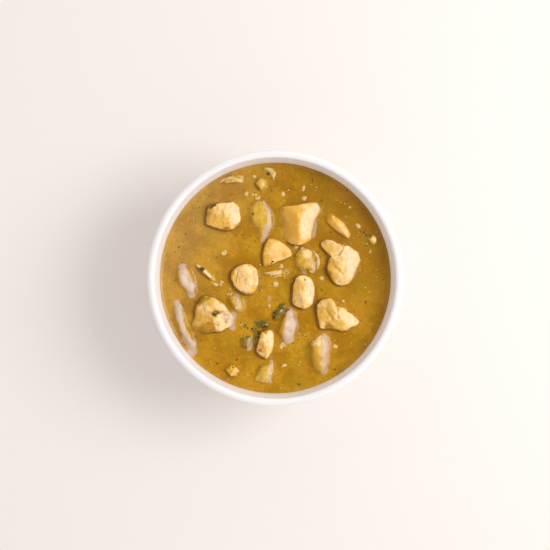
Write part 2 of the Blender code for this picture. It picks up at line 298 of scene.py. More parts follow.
def triangles_of(node):
    """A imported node's triangles as an array: triangle, corner, axis."""
    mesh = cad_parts[node].data
    mesh.calc_loop_triangles()
    places = np.empty(len(mesh.vertices) * 3)
    mesh.vertices.foreach_get("co", places)
    corners = np.empty(len(mesh.loop_triangles) * 3, int)
    mesh.loop_triangles.foreach_get("vertices", corners)
    return places.reshape(-1, 3)[corners.reshape(-1, 3)]


def middle_of(triangles):
    """Centre of the solid's volume: the mean of its tetrahedra from the origin."""
    volume = np.linalg.det(triangles)
    return (triangles.sum(1) / 4 * volume[:, None]).sum(0) / volume.sum()


def reach(triangles, centre, directions):
    """Distance from the centre to the skin along each direction. The direction is written as a
    mix of a triangle's three corners: it meets the triangle if no share is negative, at one over
    the sum of the shares."""
    inverse = np.linalg.inv(np.swapaxes(triangles - centre, 1, 2))
    shares = np.einsum("tij,nj->nti", inverse, directions.reshape(-1, 3))
    total = shares.sum(-1)
    met = (shares > -1e-7 * np.abs(total)[..., None]).all(-1) & (total > 0)
    distance = np.where(met, 1.0 / np.where(met, total, 1.0), 0.0).max(1)
    return distance.reshape(directions.shape[:-1])


def softened(grid, passes):
    """Average each value with its neighbours by weights 1-2-1, round the ring and along the
    meridian, which carries on over the pole down the far side."""
    half = grid.shape[1] // 2
    for _ in range(passes):
        grid = (np.roll(grid, 1, 1) + 2 * grid + np.roll(grid, -1, 1)) / 4
        tall = np.concatenate([np.roll(grid[:1], half, 1), grid, np.roll(grid[-1:], half, 1)])
        grid = (tall[:-2] + 2 * tall[1:-1] + tall[2:]) / 4
    return grid


def ball_directions(around, down):
    """Unit directions on rings from the top pole to the bottom pole, without the poles."""
    turn = np.linspace(0.0, math.tau, around, endpoint=False)
    fall = (np.arange(down) + 0.5) / down * math.pi
    flat = np.sin(fall)[:, None]
    parts = [flat * np.cos(turn), flat * np.sin(turn), np.cos(fall)[:, None] + 0.0 * turn]
    return np.stack(parts, -1)


def along_grain(points, angle):
    """Turn points about Z so that x runs along the grain, and squeeze x so that noise on the
    result makes long fibres."""
    turn = math.radians(angle)
    x = points[..., 0] * math.cos(turn) + points[..., 1] * math.sin(turn)
    y = points[..., 1] * math.cos(turn) - points[..., 0] * math.sin(turn)
    return np.stack([x / 6.0, y, points[..., 2] * 0.8], -1)


def round_grain(points, centre):
    """Polar places about a centre, squeezed round it, so that noise makes curved fibres."""
    away = points - centre
    radius = np.hypot(away[..., 0], away[..., 1])
    turn = np.arctan2(away[..., 1], away[..., 0])
    return np.stack([turn * 1.6 * MM, radius, away[..., 2] * 0.8], -1)


def ring_normals(points):
    """Outward unit normals of a ringed skin, from the steps to its neighbours."""
    across = np.roll(points, -1, 1) - np.roll(points, 1, 1)
    normals = np.cross(np.gradient(points, axis=0), across)
    return normals / np.maximum(np.linalg.norm(normals, axis=-1, keepdims=True), 1e-12)


def line_distance(points, start, end):
    """Level distance from each point to a straight line between two places."""
    start, end = np.asarray(start), np.asarray(end)
    run = end - start
    share = np.clip(((points[..., :2] - start) @ run) / (run @ run), 0.0, 1.0)
    return np.linalg.norm(points[..., :2] - start - share[..., None] * run, axis=-1)


class Chunk:
    """How one chunk looks: its food, its grain's direction in degrees, how uneven it is, and
    where it is creased, patched, flecked and coated. Places are shares of its box, from -1 to 1,
    and a patch adds its size. A cut is a flat face: a place, its height over the gravy in
    millimetres, the way it faces and its tilt in degrees."""

    def __init__(self, food, grain=0, creases=(), stains=(), flecks=(), pales=(), coats=(),
                 cuts=(), curl=None, rough=1.0):
        self.food = food
        self.grain = grain
        self.creases = creases
        self.stains = stains
        self.flecks = flecks
        self.pales = pales
        self.coats = coats
        self.cuts = cuts
        self.curl = curl
        self.rough = rough


CHUNKS = {
    "chicken_cube": Chunk(
        "chicken", 80, rough=1.3,
        stains=[(-0.35, -0.3, 0.6), (-0.85, 0.2, 0.4), (0.2, -0.85, 0.4)],
        pales=[(0.3, 0.5, 0.6), (0.6, 0.0, 0.4)], flecks=[(-0.66, 0.66, 0.17), (-0.5, 0.74, 0.11)],
        coats=[(-0.95, 0.1, 0.22), (0.95, -0.75, 0.3), (0.25, -0.95, 0.2)],
        cuts=[(0.0, 0.2, 5.0, 100, 7), (0.5, 0.0, 4.8, 0, 30), (0.0, -0.4, 4.8, 260, 24),
              (-0.55, 0.0, 4.8, 185, 34)]),
    "chicken_lobed": Chunk(
        "chicken", 60, rough=1.1,
        creases=[((-0.55, 0.26), (-0.05, 0.42)), ((-0.05, 0.42), (0.25, 0.8)),
                 ((-0.3, -0.2), (0.1, -0.5))],
        stains=[(-0.75, 0.5, 0.35), (-0.45, -0.1, 0.35), (-0.35, -0.6, 0.25)],
        pales=[(0.4, 0.0, 0.5), (0.1, -0.75, 0.35)], coats=[(-0.7, -0.5, 0.3), (0.2, 0.95, 0.3)],
        cuts=[(0.1, 0.0, 5.2, 165, 15), (0.35, 0.0, 5.0, 10, 20), (0.1, -0.55, 4.6, 255, 28)]),
    "chicken_folded": Chunk(
        "chicken", 100, rough=0.9,
        creases=[((0.25, 0.92), (0.66, 0.5)), ((0.66, 0.5), (0.78, -0.1)),
                 ((0.78, -0.1), (0.62, -0.66)), ((-0.6, 0.5), (-0.75, -0.2))],
        stains=[(-0.85, 0.1, 0.35), (0.75, -0.6, 0.3)], pales=[(-0.3, 0.2, 0.4), (0.1, -0.5, 0.4)],
        coats=[(-0.95, 0.4, 0.25)], cuts=[(0.0, 0.0, 5.2, 200, 13), (0.5, 0.1, 4.9, 5, 30)]),
    "chicken_barrel": Chunk(
        "chicken", 92, rough=0.9, stains=[(-0.8, 0.3, 0.3)],
        pales=[(0.45, -0.1, 0.5), (-0.3, -0.5, 0.4)], flecks=[(0.1, 0.7, 0.07)],
        cuts=[(-0.1, 0.0, 5.2, 190, 24), (0.1, 0.0, 5.2, 5, 18)]),
    "chicken_winged": Chunk(
        "chicken", 125, rough=1.5,
        creases=[((-0.05, 0.6), (0.02, -0.2)), ((0.5, -0.75), (0.9, -0.35)),
                 ((-0.6, 0.3), (-0.3, -0.3))],
        stains=[(-0.6, 0.1, 0.5), (-0.1, -0.7, 0.45), (-0.2, 0.7, 0.3)],
        pales=[(0.6, -0.2, 0.45), (-0.05, 0.1, 0.25)],
        coats=[(0.1, 0.75, 0.25), (-0.4, -0.75, 0.25)],
        cuts=[(-0.2, 0.2, 5.4, 215, 20), (0.1, 0.0, 5.1, 20, 18)]),
    "chicken_fibrous": Chunk(
        "chicken", 40, rough=1.3, curl=(0.15, -0.35),
        creases=[((-0.35, -0.52), (0.2, -0.62)), ((-0.1, 0.3), (0.3, 0.15))],
        stains=[(0.2, 0.2, 0.35), (-0.3, -0.4, 0.4), (-0.75, -0.1, 0.4), (-0.2, 0.7, 0.3)],
        pales=[(0.3, -0.62, 0.28), (0.1, 0.6, 0.25)],
        flecks=[(0.08, 0.02, 0.13), (0.2, 0.1, 0.09)],
        coats=[(0.85, -0.1, 0.5), (-0.3, -0.75, 0.4), (-0.6, 0.9, 0.4)],
        cuts=[(0.0, 0.1, 5.4, 215, 20), (0.25, 0.0, 5.0, 5, 22)]),
    "chicken_tapered": Chunk(
        "chicken", 75, rough=0.9, stains=[(-0.3, -0.2, 0.4)],
        pales=[(0.4, 0.3, 0.6), (0.2, -0.6, 0.3)], coats=[(0.0, 1.0, 0.3)],
        cuts=[(0.1, 0.0, 5.2, 195, 24), (0.1, 0.0, 5.2, 10, 16)]),
    "chicken_shred": Chunk("chicken", 140, pales=[(0, 0, 1.2)], flecks=[(-0.2, 0.4, 0.3)]),
    "potato_block": Chunk(
        "potato", 95,
        stains=[(-0.62, 0.25, 0.62), (-0.42, -0.4, 0.5), (-0.3, 0.8, 0.3), (0.3, -0.75, 0.25)],
        pales=[(0.1, -0.5, 0.2), (0.15, -0.2, 0.2), (0.22, 0.1, 0.2), (0.3, 0.4, 0.2),
               (0.9, 0.8, 0.25)], coats=[(0.72, -0.45, 0.22), (-0.98, 0.6, 0.25)],
        cuts=[(-0.1, 0.0, 4.9, 190, 28), (0.1, 0.0, 4.9, 350, 16), (0.42, -0.2, 3.6, -10, 27),
              (0.0, 0.6, 4.7, 100, 27)]),
    "potato_wedge": Chunk(
        "potato", 130, stains=[(-0.8, -0.5, 0.45), (-0.7, 0.6, 0.3)], pales=[(0.1, 0.0, 0.55)],
        coats=[(-0.5, -0.95, 0.25)],
        cuts=[(0.0, 0.0, 4.4, 165, 12), (0.1, -0.2, 4.2, 266, 25), (0.25, 0.4, 4.0, 58, 42)]),
    "potato_sliver": Chunk(
        "potato", 135, stains=[(-0.5, 0.2, 0.6)], pales=[(0.35, -0.4, 0.3)],
        coats=[(-0.8, 0.8, 0.5)], cuts=[(0.1, 0.0, 3.2, 225, 32), (0.1, 0.0, 3.2, 45, 24)]),
    "potato_bit": Chunk("potato", 90, stains=[(0.0, -0.5, 0.5)]),
    "potato_corner": Chunk(
        "potato", 20, stains=[(-0.4, 0.0, 0.6)], coats=[(0.0, 0.9, 0.5), (0.9, -0.5, 0.4)]),
    "onion_bud": Chunk(
        "onion", 100, stains=[(-0.5, 0.0, 0.6)], pales=[(0.25, -0.1, 0.35)],
        coats=[(-0.7, 0.7, 0.4)], cuts=[(0.15, 0.0, 3.4, 185, 28), (0.15, 0.0, 3.4, 5, 30)]),
    "onion_petal": Chunk("onion", 30, pales=[(0.5, 0.5, 0.7)], flecks=[(-0.25, -0.2, 0.3)]),
    "onion_strip": Chunk(
        "onion", 5, stains=[(-0.4, 0.0, 0.6)], pales=[(0.8, 0.0, 0.2)], coats=[(0.3, -0.9, 0.6)]),
    "onion_slab": Chunk(
        "onion", 75, pales=[(0.75, 0.2, 0.4)], coats=[(-0.8, 0.4, 0.7)],
        cuts=[(0.4, 0.0, 2.8, 200, 14), (0.4, 0.0, 2.8, 345, 26)]),
    "chile_skin": Chunk("chile", 60, pales=[(0.5, 0.5, 0.35)]),
    "chile_bit": Chunk("chile", 10, pales=[(0.5, 0.3, 0.3)]),
    "chile_square": Chunk("chile", 70, stains=[(-0.6, 0.0, 0.7)], pales=[(0.5, 0.0, 0.5)]),
    "coated_chunk_top": Chunk(
        "coated", 90, rough=1.8, stains=[(0.1, 0.45, 0.5), (0.35, 0.1, 0.4), (-0.3, 0.0, 0.3)],
        flecks=[(-0.55, 0.35, 0.07)]),
    "coated_chunk_mid": Chunk(
        "coated", 90, rough=2.2, stains=[(-0.4, 0.2, 0.5), (0.1, -0.5, 0.3)],
        pales=[(0.2, 0.4, 0.4)], cuts=[(0.2, 0.0, 3.4, 5, 25)]),
    "coated_chunk_left": Chunk(
        "coated", 100, stains=[(-0.5, 0.3, 0.7), (0.0, -0.5, 0.4)],
        cuts=[(-0.3, 0.0, 3.6, 12, 23)]),
    "coated_chunk_low": Chunk(
        "coated", 80, flecks=[(-0.35, 0.7, 0.25), (0.1, 0.95, 0.2)],
        cuts=[(-0.5, 0.0, 3.9, 8, 22)]),
    "coated_chunk_small": Chunk("coated", 60, cuts=[(0.0, 0.0, 2.8, 12, 22)]),
    "coated_strip_left": Chunk("coated", 110, cuts=[(-0.55, 0.0, 3.4, 20, 21)]),
    "coated_strip_right": Chunk(
        "coated", 85, stains=[(-0.4, 0.3, 0.3)], pales=[(-0.3, 0.7, 0.4)],
        cuts=[(-0.1, 0.0, 3.6, 5, 23)]),
    "coated_strip_mid": Chunk("coated", 10, pales=[(0.0, 0.0, 0.6)]),
}

# For each food: passes of softening, lump height and size, grain height and size, pit depth
SURFACES = {
    "chicken": (3, 0.42 * MM, 4.4 * MM, 0.07 * MM, 1.1 * MM, 0.12 * MM),
    "potato": (2, 0.16 * MM, 4.5 * MM, 0.02 * MM, 0.8 * MM, 0.05 * MM),
    "onion": (4, 0.14 * MM, 3.0 * MM, 0.05 * MM, 0.9 * MM, 0.0),
    "chile": (4, 0.25 * MM, 2.2 * MM, 0.10 * MM, 0.9 * MM, 0.05 * MM),
    "coated": (6, 0.20 * MM, 4.5 * MM, 0.03 * MM, 1.2 * MM, 0.0),
}
CREASE_DEPTH = 0.8 * MM
CREASE_WIDTH = 0.7 * MM
CUT_LIFT = 1.5
CUT_ROUNDING = 0.45 * MM


def cut_heights(points, middle, half, cuts):
    """Heights after the cuts: the part over the gravy is raised by a share and then held under
    every cut plane, so that the planes meet in edges."""
    height = points[..., 2] - GRAVY_LEVEL
    if cuts:
        height = np.where(height > 0, CUT_LIFT * height, height)
    for x, y, up, facing, tilt in cuts:
        away = points[..., :2] - middle[:2] - half[:2] * (x, y)
        fall = away[..., 0] * math.cos(math.radians(facing))
        fall += away[..., 1] * math.sin(math.radians(facing))
        plane = np.maximum(up * MM - fall * math.tan(math.radians(tilt)), 0.0)
        lower = np.minimum(height, plane)
        apart = np.abs(height - plane) / CUT_ROUNDING
        held = lower - CUT_ROUNDING * np.log1p(np.exp(-apart)) * (plane > 0)
        height = np.where(height > 0, np.maximum(held, 0.0), height)
    return GRAVY_LEVEL + height


def spot_mask(points, middle, half, spots, seed):
    """1 inside any of the round spots, fading out over an uneven edge, 0 elsewhere."""
    mask = np.zeros(points.shape[:-1])
    shares = (points[..., :2] - middle[:2]) / half[:2]
    ragged = 0.35 * layered_noise(points, 2.2 * MM, seed)
    for x, y, size in spots:
        away = np.hypot(shares[..., 0] - x, shares[..., 1] - y) / size
        mask = np.maximum(mask, 1.0 - eased(away + ragged, 0.65, 1.15))
    return mask


def chunk_skin(node, look, seed):
    """Points of a chunk's skin on rings, and its masks. The skin is the solid's own reach from
    its middle, softened, with lumps, grain, pits and creases added along the same direction."""
    passes, lump, lump_size, grain, grain_size, pit = SURFACES[look.food]
    triangles = triangles_of(node)
    middle = middle_of(triangles)
    directions = ball_directions(AROUND, DOWN)
    distance = softened(reach(triangles, middle, directions), passes)
    points = middle + distance[..., None] * directions
    low, high = (np.array(corner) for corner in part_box(node))
    box_middle, half = (low + high) / 2, (high - low) / 2
    points[..., 2] = cut_heights(points, box_middle, half, look.cuts)
    if look.curl:
        centre = box_middle + half * (*look.curl, 0.0)
        fibres = layered_noise(round_grain(points, centre), grain_size, seed + 3)
    else:
        fibres = layered_noise(along_grain(points, look.grain), grain_size, seed + 3)
    lumps = layered_noise(points, lump_size, seed + 11)
    pits = eased(layered_noise(points, 1.5 * MM, seed + 19), 0.35, 0.9)
    rise = look.rough * (lump * lumps + grain * fibres - pit * pits)
    for start, end in look.creases:
        line = [box_middle[:2] + half[:2] * place for place in (start, end)]
        away = line_distance(points, *line) + 0.25 * MM * lattice_noise(points, 1.5 * MM, 7)
        rise -= CREASE_DEPTH * np.exp(-((away / CREASE_WIDTH) ** 2)) * (directions[..., 2] > 0)
    points = points + rise[..., None] * directions
    normals = ring_normals(points)
    turn = math.radians(WINDOW_SIDE)
    away = -normals[..., 0] * math.cos(turn) - normals[..., 1] * math.sin(turn)
    steep = 1.0 - eased(normals[..., 2] + 0.2 * lumps, 0.3, 0.85)
    top = high[2] - GRAVY_LEVEL
    # The first two masks paint shade: on steep sides and on sides facing away from the window, and
    # in the hollows of lumps and fibres and in pits.
    masks = {
        "edge": np.maximum(steep, 0.85 * eased(away + 0.08 * fibres, 0.05, 0.55)),
        "painted_shade": eased(-0.7 * fibres - 0.7 * lumps + 1.2 * pits, 0.05, 1.25),
        "stain": spot_mask(points, box_middle, half, look.stains, seed + 31),
        "pale": spot_mask(points, box_middle, half, look.pales, seed + 37),
        "fleck": spot_mask(points, box_middle, half, look.flecks, seed + 41),
        "coat": spot_mask(points, box_middle, half, look.coats, seed + 43),
        "wade": 1.0 - eased(points[..., 2] + 0.15 * top * lumps,
                            GRAVY_LEVEL + 0.14 * top, GRAVY_LEVEL + 0.6 * top),
    }
    return points, masks


def with_poles(values):
    """Ring values followed by the mean of the first ring and of the last, for the two poles."""
    flat = values.reshape(-1, *values.shape[2:])
    return np.concatenate([flat, [values[0].mean(0)], [values[-1].mean(0)]])


def make_chunk(node, look, points, masks, materials):
    """One chunk's fine piece in place of its plain solid."""
    _, faces = closed_grid(points, (0, 0, 0), (0, 0, 0))
    attributes = {key: with_poles(values) for key, values in masks.items()}
    piece = add_piece(node + "_skin", with_poles(points), faces, materials[look.food], attributes)
    stand_in(piece, node)


# ---------------------------------------------------------------- height maps of the surface

def map_index(x, y):
    """Row and column numbers of level places on the square height map, as fractions."""
    return x / MAP_CELL + MAP_SIDE / 2 - 0.5, y / MAP_CELL + MAP_SIDE / 2 - 0.5


def highest(points):
    """Height map of a ringed skin: the highest point in each square. The skin is doubled up with
    its mid-points first, so that no square under it stays empty."""
    finer = np.concatenate([points, (points + np.roll(points, -1, 1)) / 2])
    finer = np.concatenate([finer, (finer + np.roll(finer, -1, 0)) / 2])
    row, column = (np.rint(part).astype(int) for part in map_index(finer[..., 0], finer[..., 1]))
    heights = np.full((MAP_SIDE, MAP_SIDE), -1.0)
    np.maximum.at(heights, (row.ravel(), column.ravel()), finer[..., 2].ravel())
    return heights


def blurred(heights, passes):
    """Average each square with its neighbours by weights 1-2-1 in both directions."""
    for _ in range(passes):
        for axis in (0, 1):
            sides = np.roll(heights, 1, axis) + np.roll(heights, -1, axis)
            heights = (sides + 2 * heights) / 4
    return heights


def sampled(heights, x, y):
    """Height map read at level places, blended between the four squares round each."""
    row, column = map_index(x, y)
    row = np.clip(row, 0, MAP_SIDE - 2)
    column = np.clip(column, 0, MAP_SIDE - 2)
    i, j = row.astype(int), column.astype(int)
    s, t = row - i, column - j
    near = heights[i, j] * (1 - t) + heights[i, j + 1] * t
    far = heights[i + 1, j] * (1 - t) + heights[i + 1, j + 1] * t
    return near * (1 - s) + far * s


# For each bare food: how far under the chunk's top the gravy lies, and how far it climbs its side
COATS = {
    "chicken": (0.6 * MM, 0.4 * MM),
    "potato": (0.6 * MM, 0.4 * MM),
    "onion": (0.4 * MM, 0.6 * MM),
    "chile": (0.4 * MM, 0.7 * MM),
}
CLIMB_UNEVEN = 0.6 * MM
COAT_OVERLAP = 0.15 * MM
COAT_UNEVEN = 0.5 * MM


def solid_map(skins):
    """Height map of the chunks alone."""
    return np.max([highest(points) for points in skins.values()], axis=0)


def gravy_map(skins):
    """Height map of the gravy: level, raised to each chunk's coat, and blurred, which leaves a
    narrow rise round every bare chunk and a wide smooth one over every coated chunk."""
    bare = np.full((MAP_SIDE, MAP_SIDE), GRAVY_LEVEL)
    coated = bare.copy()
    line = (np.arange(MAP_SIDE) + 0.5 - MAP_SIDE / 2) * MAP_CELL
    places = np.stack(np.meshgrid(line, line, [0.0], indexing="ij"), -1)[:, :, 0]
    uneven = CLIMB_UNEVEN * layered_noise(places, 3.2 * MM, 77, 2)
    pulp = layered_noise(places, 3.4 * MM, 83, 3)
    for node, points in skins.items():
        if CHUNKS[node].food == "coated":
            coated = np.maximum(coated, highest(points) + COAT_UNEVEN * pulp)
        else:
            under, climb = COATS[CHUNKS[node].food]
            coat = np.minimum(highest(points) - under, GRAVY_LEVEL + climb + uneven)
            bare = np.maximum(bare, coat)
    return np.maximum(blurred(bare, 3), blurred(coated, 5))


def lie_in_gravy(points, heights):
    """A coated chunk's skin moved onto the gravy's face: a little over it in the middle of the
    chunk and a little under it at the edge, so that the two join with no step."""
    over = points[..., 2] - GRAVY_LEVEL
    face = gravy_height(heights, points[..., 0], points[..., 1])
    raised = face + COAT_OVERLAP * (2.0 * eased(over, 0.7 * MM, 1.8 * MM) - 1.0)
    return np.where(over > 0, raised, points[..., 2])


# Mask for painting the window's reflection on faces that lean towards it
def glare_map(heights, chunk_heights):
    """1 where the face leans towards the window by about half the window's angle from straight
    up, within GLARE_FULL degrees, and 0 beyond GLARE_NONE."""
    top = blurred(np.maximum(heights, chunk_heights), 2)
    slope_x, slope_y = np.gradient(top, MAP_CELL)
    lean = math.radians((90 - WINDOW_HEIGHT) / 2)
    turn = math.radians(WINDOW_SIDE)
    toward = -math.sin(lean) * (slope_x * math.cos(turn) + slope_y * math.sin(turn))
    facing = (toward + math.cos(lean)) / np.sqrt(1.0 + slope_x**2 + slope_y**2)
    return eased(facing, math.cos(math.radians(GLARE_NONE)), math.cos(math.radians(GLARE_FULL)))


def contact_shade_map(bare_skins):
    """Mask for painted shade: close to 1 over and beside the bare chunks, and falling to 0 a few
    millimetres away.
    """
    tall = np.max([highest(points) for points in bare_skins], axis=0) > GRAVY_LEVEL + 1.5 * MM
    return blurred(tall.astype(float), 7)


# ---------------------------------------------------------------- gravy

def disc_places(cells, radius):
    """A square grid pressed into a disc: each square ring becomes a circle of the same share."""
    line = np.linspace(-1.0, 1.0, cells + 1)
    a, b = np.meshgrid(line, line, indexing="ij")
    wide = np.abs(a) > np.abs(b)
    with np.errstate(divide="ignore", invalid="ignore"):
        turn = np.where(wide, math.pi / 4 * b / a, math.pi / 2 - math.pi / 4 * a / b)
    turn = np.nan_to_num(turn)
    share = np.where(wide, a, b)
    return radius * share * np.cos(turn), radius * share * np.sin(turn)


def border_numbers(cells):
    """Point numbers round the edge of the square grid, anticlockwise seen from above."""
    number = np.arange((cells + 1) ** 2).reshape(cells + 1, cells + 1)
    sides = [number[:-1, 0], number[-1, :-1], number[:0:-1, -1], number[0, :0:-1]]
    return np.concatenate(sides)


def ripples(x, y):
    """Slow swells and a fine pulpy grain on the gravy's face."""
    flat = np.stack([x, y, 0.0 * x], -1)
    swell = 0.16 * MM * layered_noise(flat, 11.0 * MM, 5, 3)
    return swell + 0.035 * MM * layered_noise(flat, 1.3 * MM, 9, 2)


def gravy_height(heights, x, y):
    """The gravy's face: its height map, its ripples, and a rise against the wall that falls away
    from it by a constant share per millimetre."""
    wall = inner_radius(GRAVY_LEVEL + MENISCUS_HEIGHT)
    rise = MENISCUS_HEIGHT * np.exp(-np.maximum(wall - np.hypot(x, y), 0.0) / MENISCUS_REACH)
    return sampled(heights, x, y) + ripples(x, y) + rise


# Where a painted reflection of the window goes on the wet face, in millimetres: start, end, width,
# and strength to 1
SHEENS = [
    (-53.0, 6.0, -51.8, -0.5, 4.8, 1.0), (-51.6, -0.5, -49.0, -5.0, 5.4, 1.0),
    (-48.6, -5.5, -48.0, -9.6, 4.0, 0.9), (-56.3, -14.4, -55.4, -18.6, 3.6, 1.0),
    (-55.4, -18.6, -54.3, -23.4, 4.4, 1.0), (-54.3, -23.4, -53.0, -29.0, 2.8, 1.0),
    (-53.0, -29.0, -51.0, -34.0, 3.0, 1.0), (-51.0, -34.0, -48.4, -38.0, 4.6, 1.0),
    (-48.4, -38.0, -47.6, -42.4, 5.0, 0.9), (8.0, -19.5, 9.0, -26.0, 4.6, 0.9),
    (8.8, -26.0, 7.2, -34.4, 6.2, 1.0), (27.9, -33.6, 29.2, -41.0, 3.6, 0.75),
    (29.2, -41.0, 28.0, -53.2, 3.8, 0.65), (-6.9, 43.4, -3.6, 38.3, 1.5, 0.8),
    (-3.6, 38.3, -3.1, 31.0, 2.0, 0.9), (-3.1, 31.0, -5.6, 26.0, 3.8, 0.9),
    (-5.6, 26.0, -7.2, 21.6, 2.6, 0.7), (15.5, 16.0, 20.4, 14.4, 2.2, 0.8),
    (21.8, 8.4, 22.0, 4.4, 2.0, 0.7), (14.7, 5.6, 16.9, 3.6, 2.2, 0.6),
    (-22.2, -10.8, -20.7, -17.0, 3.2, 0.6), (-24.4, -21.0, -25.0, -28.4, 3.8, 0.8),
    (-2.2, -48.2, -3.2, -59.0, 2.0, 0.9), (42.0, 14.0, 43.8, 4.0, 5.6, 0.6),
    (23.6, 40.6, 21.4, 25.0, 3.2, 0.6), (-14.4, -34.8, -15.0, -40.4, 2.6, 0.7),
    (-3.4, -11.0, -3.6, -12.6, 2.2, 0.4), (44.4, -22.0, 45.6, -25.0, 1.6, 0.5),
    (-24.7, 40.4, -23.7, 32.6, 3.6, 0.45), (20.7, -4.1, 20.7, -14.0, 2.6, 0.55),
]


# Where herbs darken the gravy, in the same way
MURKS = [
    (-10.6, -25.6, -6.2, -25.2, 4.0, 0.75), (-11.4, -28.0, -11.6, -38.5, 2.8, 0.8),
    (0.8, -20.6, 4.0, -16.2, 4.4, 0.7), (53.0, 25.0, 54.5, 20.0, 3.4, 0.5),
    (-40.0, 31.0, -36.0, 29.6, 2.0, 0.35), (-45.0, -29.0, -38.0, -31.6, 1.8, 0.4),
]


def band_share(points, bands):
    """1 within a band along each line, fading out over the band's uneven edges."""
    ragged = 0.45 * MM * layered_noise(points * (1, 1, 0), 2.0 * MM, 57)
    share = np.zeros(points.shape[:-1])
    for start_x, start_y, end_x, end_y, width, strength in bands:
        start, end = (start_x * MM, start_y * MM), (end_x * MM, end_y * MM)
        away = (line_distance(points, start, end) + ragged) / (width * MM)
        share = np.maximum(share, strength * (1.0 - eased(away, 0.36, 0.62)))
    return share


def face_masks(points, wet, near):
    """Masks that the gravy and the chunks share: crown where the face stands high; from their
    maps, the painted reflection of the window where the face leans towards it and painted shade
    beside the bare chunks; in their bands, the painted reflection of the window and the herbs'
    murk; painted shade on the right, where the wall shades the gravy; painted light on the upper
    left."""
    x, y, z = points[..., 0], points[..., 1], points[..., 2]
    crown = eased(z, GRAVY_LEVEL + 0.5 * MM, GRAVY_LEVEL + 2.6 * MM)
    inside = np.hypot(x, y) < inner_radius(GRAVY_LEVEL) - 3.0 * MM
    return {
        "crown": crown * inside,
        "wet": sampled(wet, x, y) * (z > GRAVY_LEVEL),
        "near": sampled(near, x + SHADE_SHIFT, y + SHADE_SHIFT / 4),
        "sheen": band_share(points, SHEENS) * (z > GRAVY_LEVEL - 0.5 * MM),
        "murk": band_share(points, MURKS),
        "wall_shade": eased(x + 0.7 * y, 8 * MM, 84 * MM),
        "painted_light": eased(0.5 * y - x, 20 * MM, 72 * MM),
    }


def make_gravy(heights, wet, near, material):
    """The gravy: its face on a disc grid, and rings from the face's edge down inside the wall to
    the bowl's floor."""
    edge = GRAVY_LEVEL + MENISCUS_HEIGHT
    x, y = disc_places(SKIN_CELLS, inner_radius(edge) + WALL_OVERLAP)
    z = gravy_height(heights, x, y)
    face = np.stack([x, y, z], -1).reshape(-1, 3)
    number = np.arange(len(face)).reshape(x.shape)
    corners = [number[:-1, :-1], number[1:, :-1], number[1:, 1:], number[:-1, 1:]]
    faces = np.stack(corners, -1).reshape(-1, 4).tolist()
    border = border_numbers(SKIN_CELLS)
    depths = edge - (edge - FLOOR_HEIGHT) * np.linspace(0.0, 1.0, 11)[1:-1]
    radii = inner_radius(depths) + WALL_OVERLAP
    turn = face[border, :2] / np.linalg.norm(face[border, :2], axis=1)[:, None]
    rings = [np.column_stack([turn * r, np.full(len(turn), h)]) for r, h in zip(radii, depths)]
    points = np.concatenate([face, *rings, [(0.0, 0.0, FLOOR_HEIGHT)]])
    ring_numbers = [border] + [
        len(face) + i * len(border) + np.arange(len(border)) for i in range(len(rings))
    ]
    for upper, lower in zip(ring_numbers, ring_numbers[1:]):
        quads = np.stack([upper, lower, np.roll(lower, -1), np.roll(upper, -1)], -1)
        faces += quads.tolist()
    faces += fan_faces(len(points) - 1, ring_numbers[-1], False)
    masks = face_masks(points, wet, near)
    stand_in(add_piece("gravy_pool", points, faces, material, masks), "gravy")


# ---------------------------------------------------------------- scattered bits

def scattered_places(count, seed, chunk_heights):
    """Random level places inside the wall, even over the area, kept off the chunks."""
    random = np.random.default_rng(seed)
    radius = (inner_radius(GRAVY_LEVEL) - 1.5 * MM) * np.sqrt(random.uniform(0, 1, 3 * count))
    turn = random.uniform(0, math.tau, 3 * count)
    x, y = radius * np.cos(turn), radius * np.sin(turn)
    clear = sampled(chunk_heights, x, y) < GRAVY_LEVEL
    return x[clear][:count], y[clear][:count]


def make_flakes(name, place, size, turn, seed, material, slot, rings, around, uneven):
    """Small uneven pebbles or flakes joined in one mesh: each is a ball of a few faces, pushed in
    and out at random, stretched to its length, width and height, and turned about Z."""
    random = np.random.default_rng(seed)
    x, y, z = place
    count = len(x)
    ball = np.concatenate([ball_directions(around, rings).reshape(-1, 3), [(0, 0, 1), (0, 0, -1)]])
    push = random.uniform(*uneven, (count, len(ball), 1))
    local = ball * push * np.stack(size, -1)[:, None] / 2
    lean = random.normal(0.0, 0.12, (count, 1, 2))
    local[..., 2] += (local[..., :2] * lean).sum(-1)
    cos, sin = np.cos(turn)[:, None], np.sin(turn)[:, None]
    points = np.stack([
        x[:, None] + local[..., 0] * cos - local[..., 1] * sin,
        y[:, None] + local[..., 0] * sin + local[..., 1] * cos,
        z[:, None] + local[..., 2],
    ], -1)
    _, faces = closed_grid(np.zeros((rings, around, 3)), (0, 0, 0), (0, 0, 0))
    join_copies(name, points, faces, material)


def join_copies(name, points, faces, material):
    """One mesh of many copies of a small closed shape, given every copy's points."""
    count, size = points.shape[:2]
    quads = np.array([face for face in faces if len(face) == 4])
    triangles = np.array([face for face in faces if len(face) == 3])
    shift = np.arange(count)[:, None, None] * size
    joined = (quads + shift).reshape(-1, 4).tolist() + (triangles + shift).reshape(-1, 3).tolist()
    add_piece(name, points, joined, material)


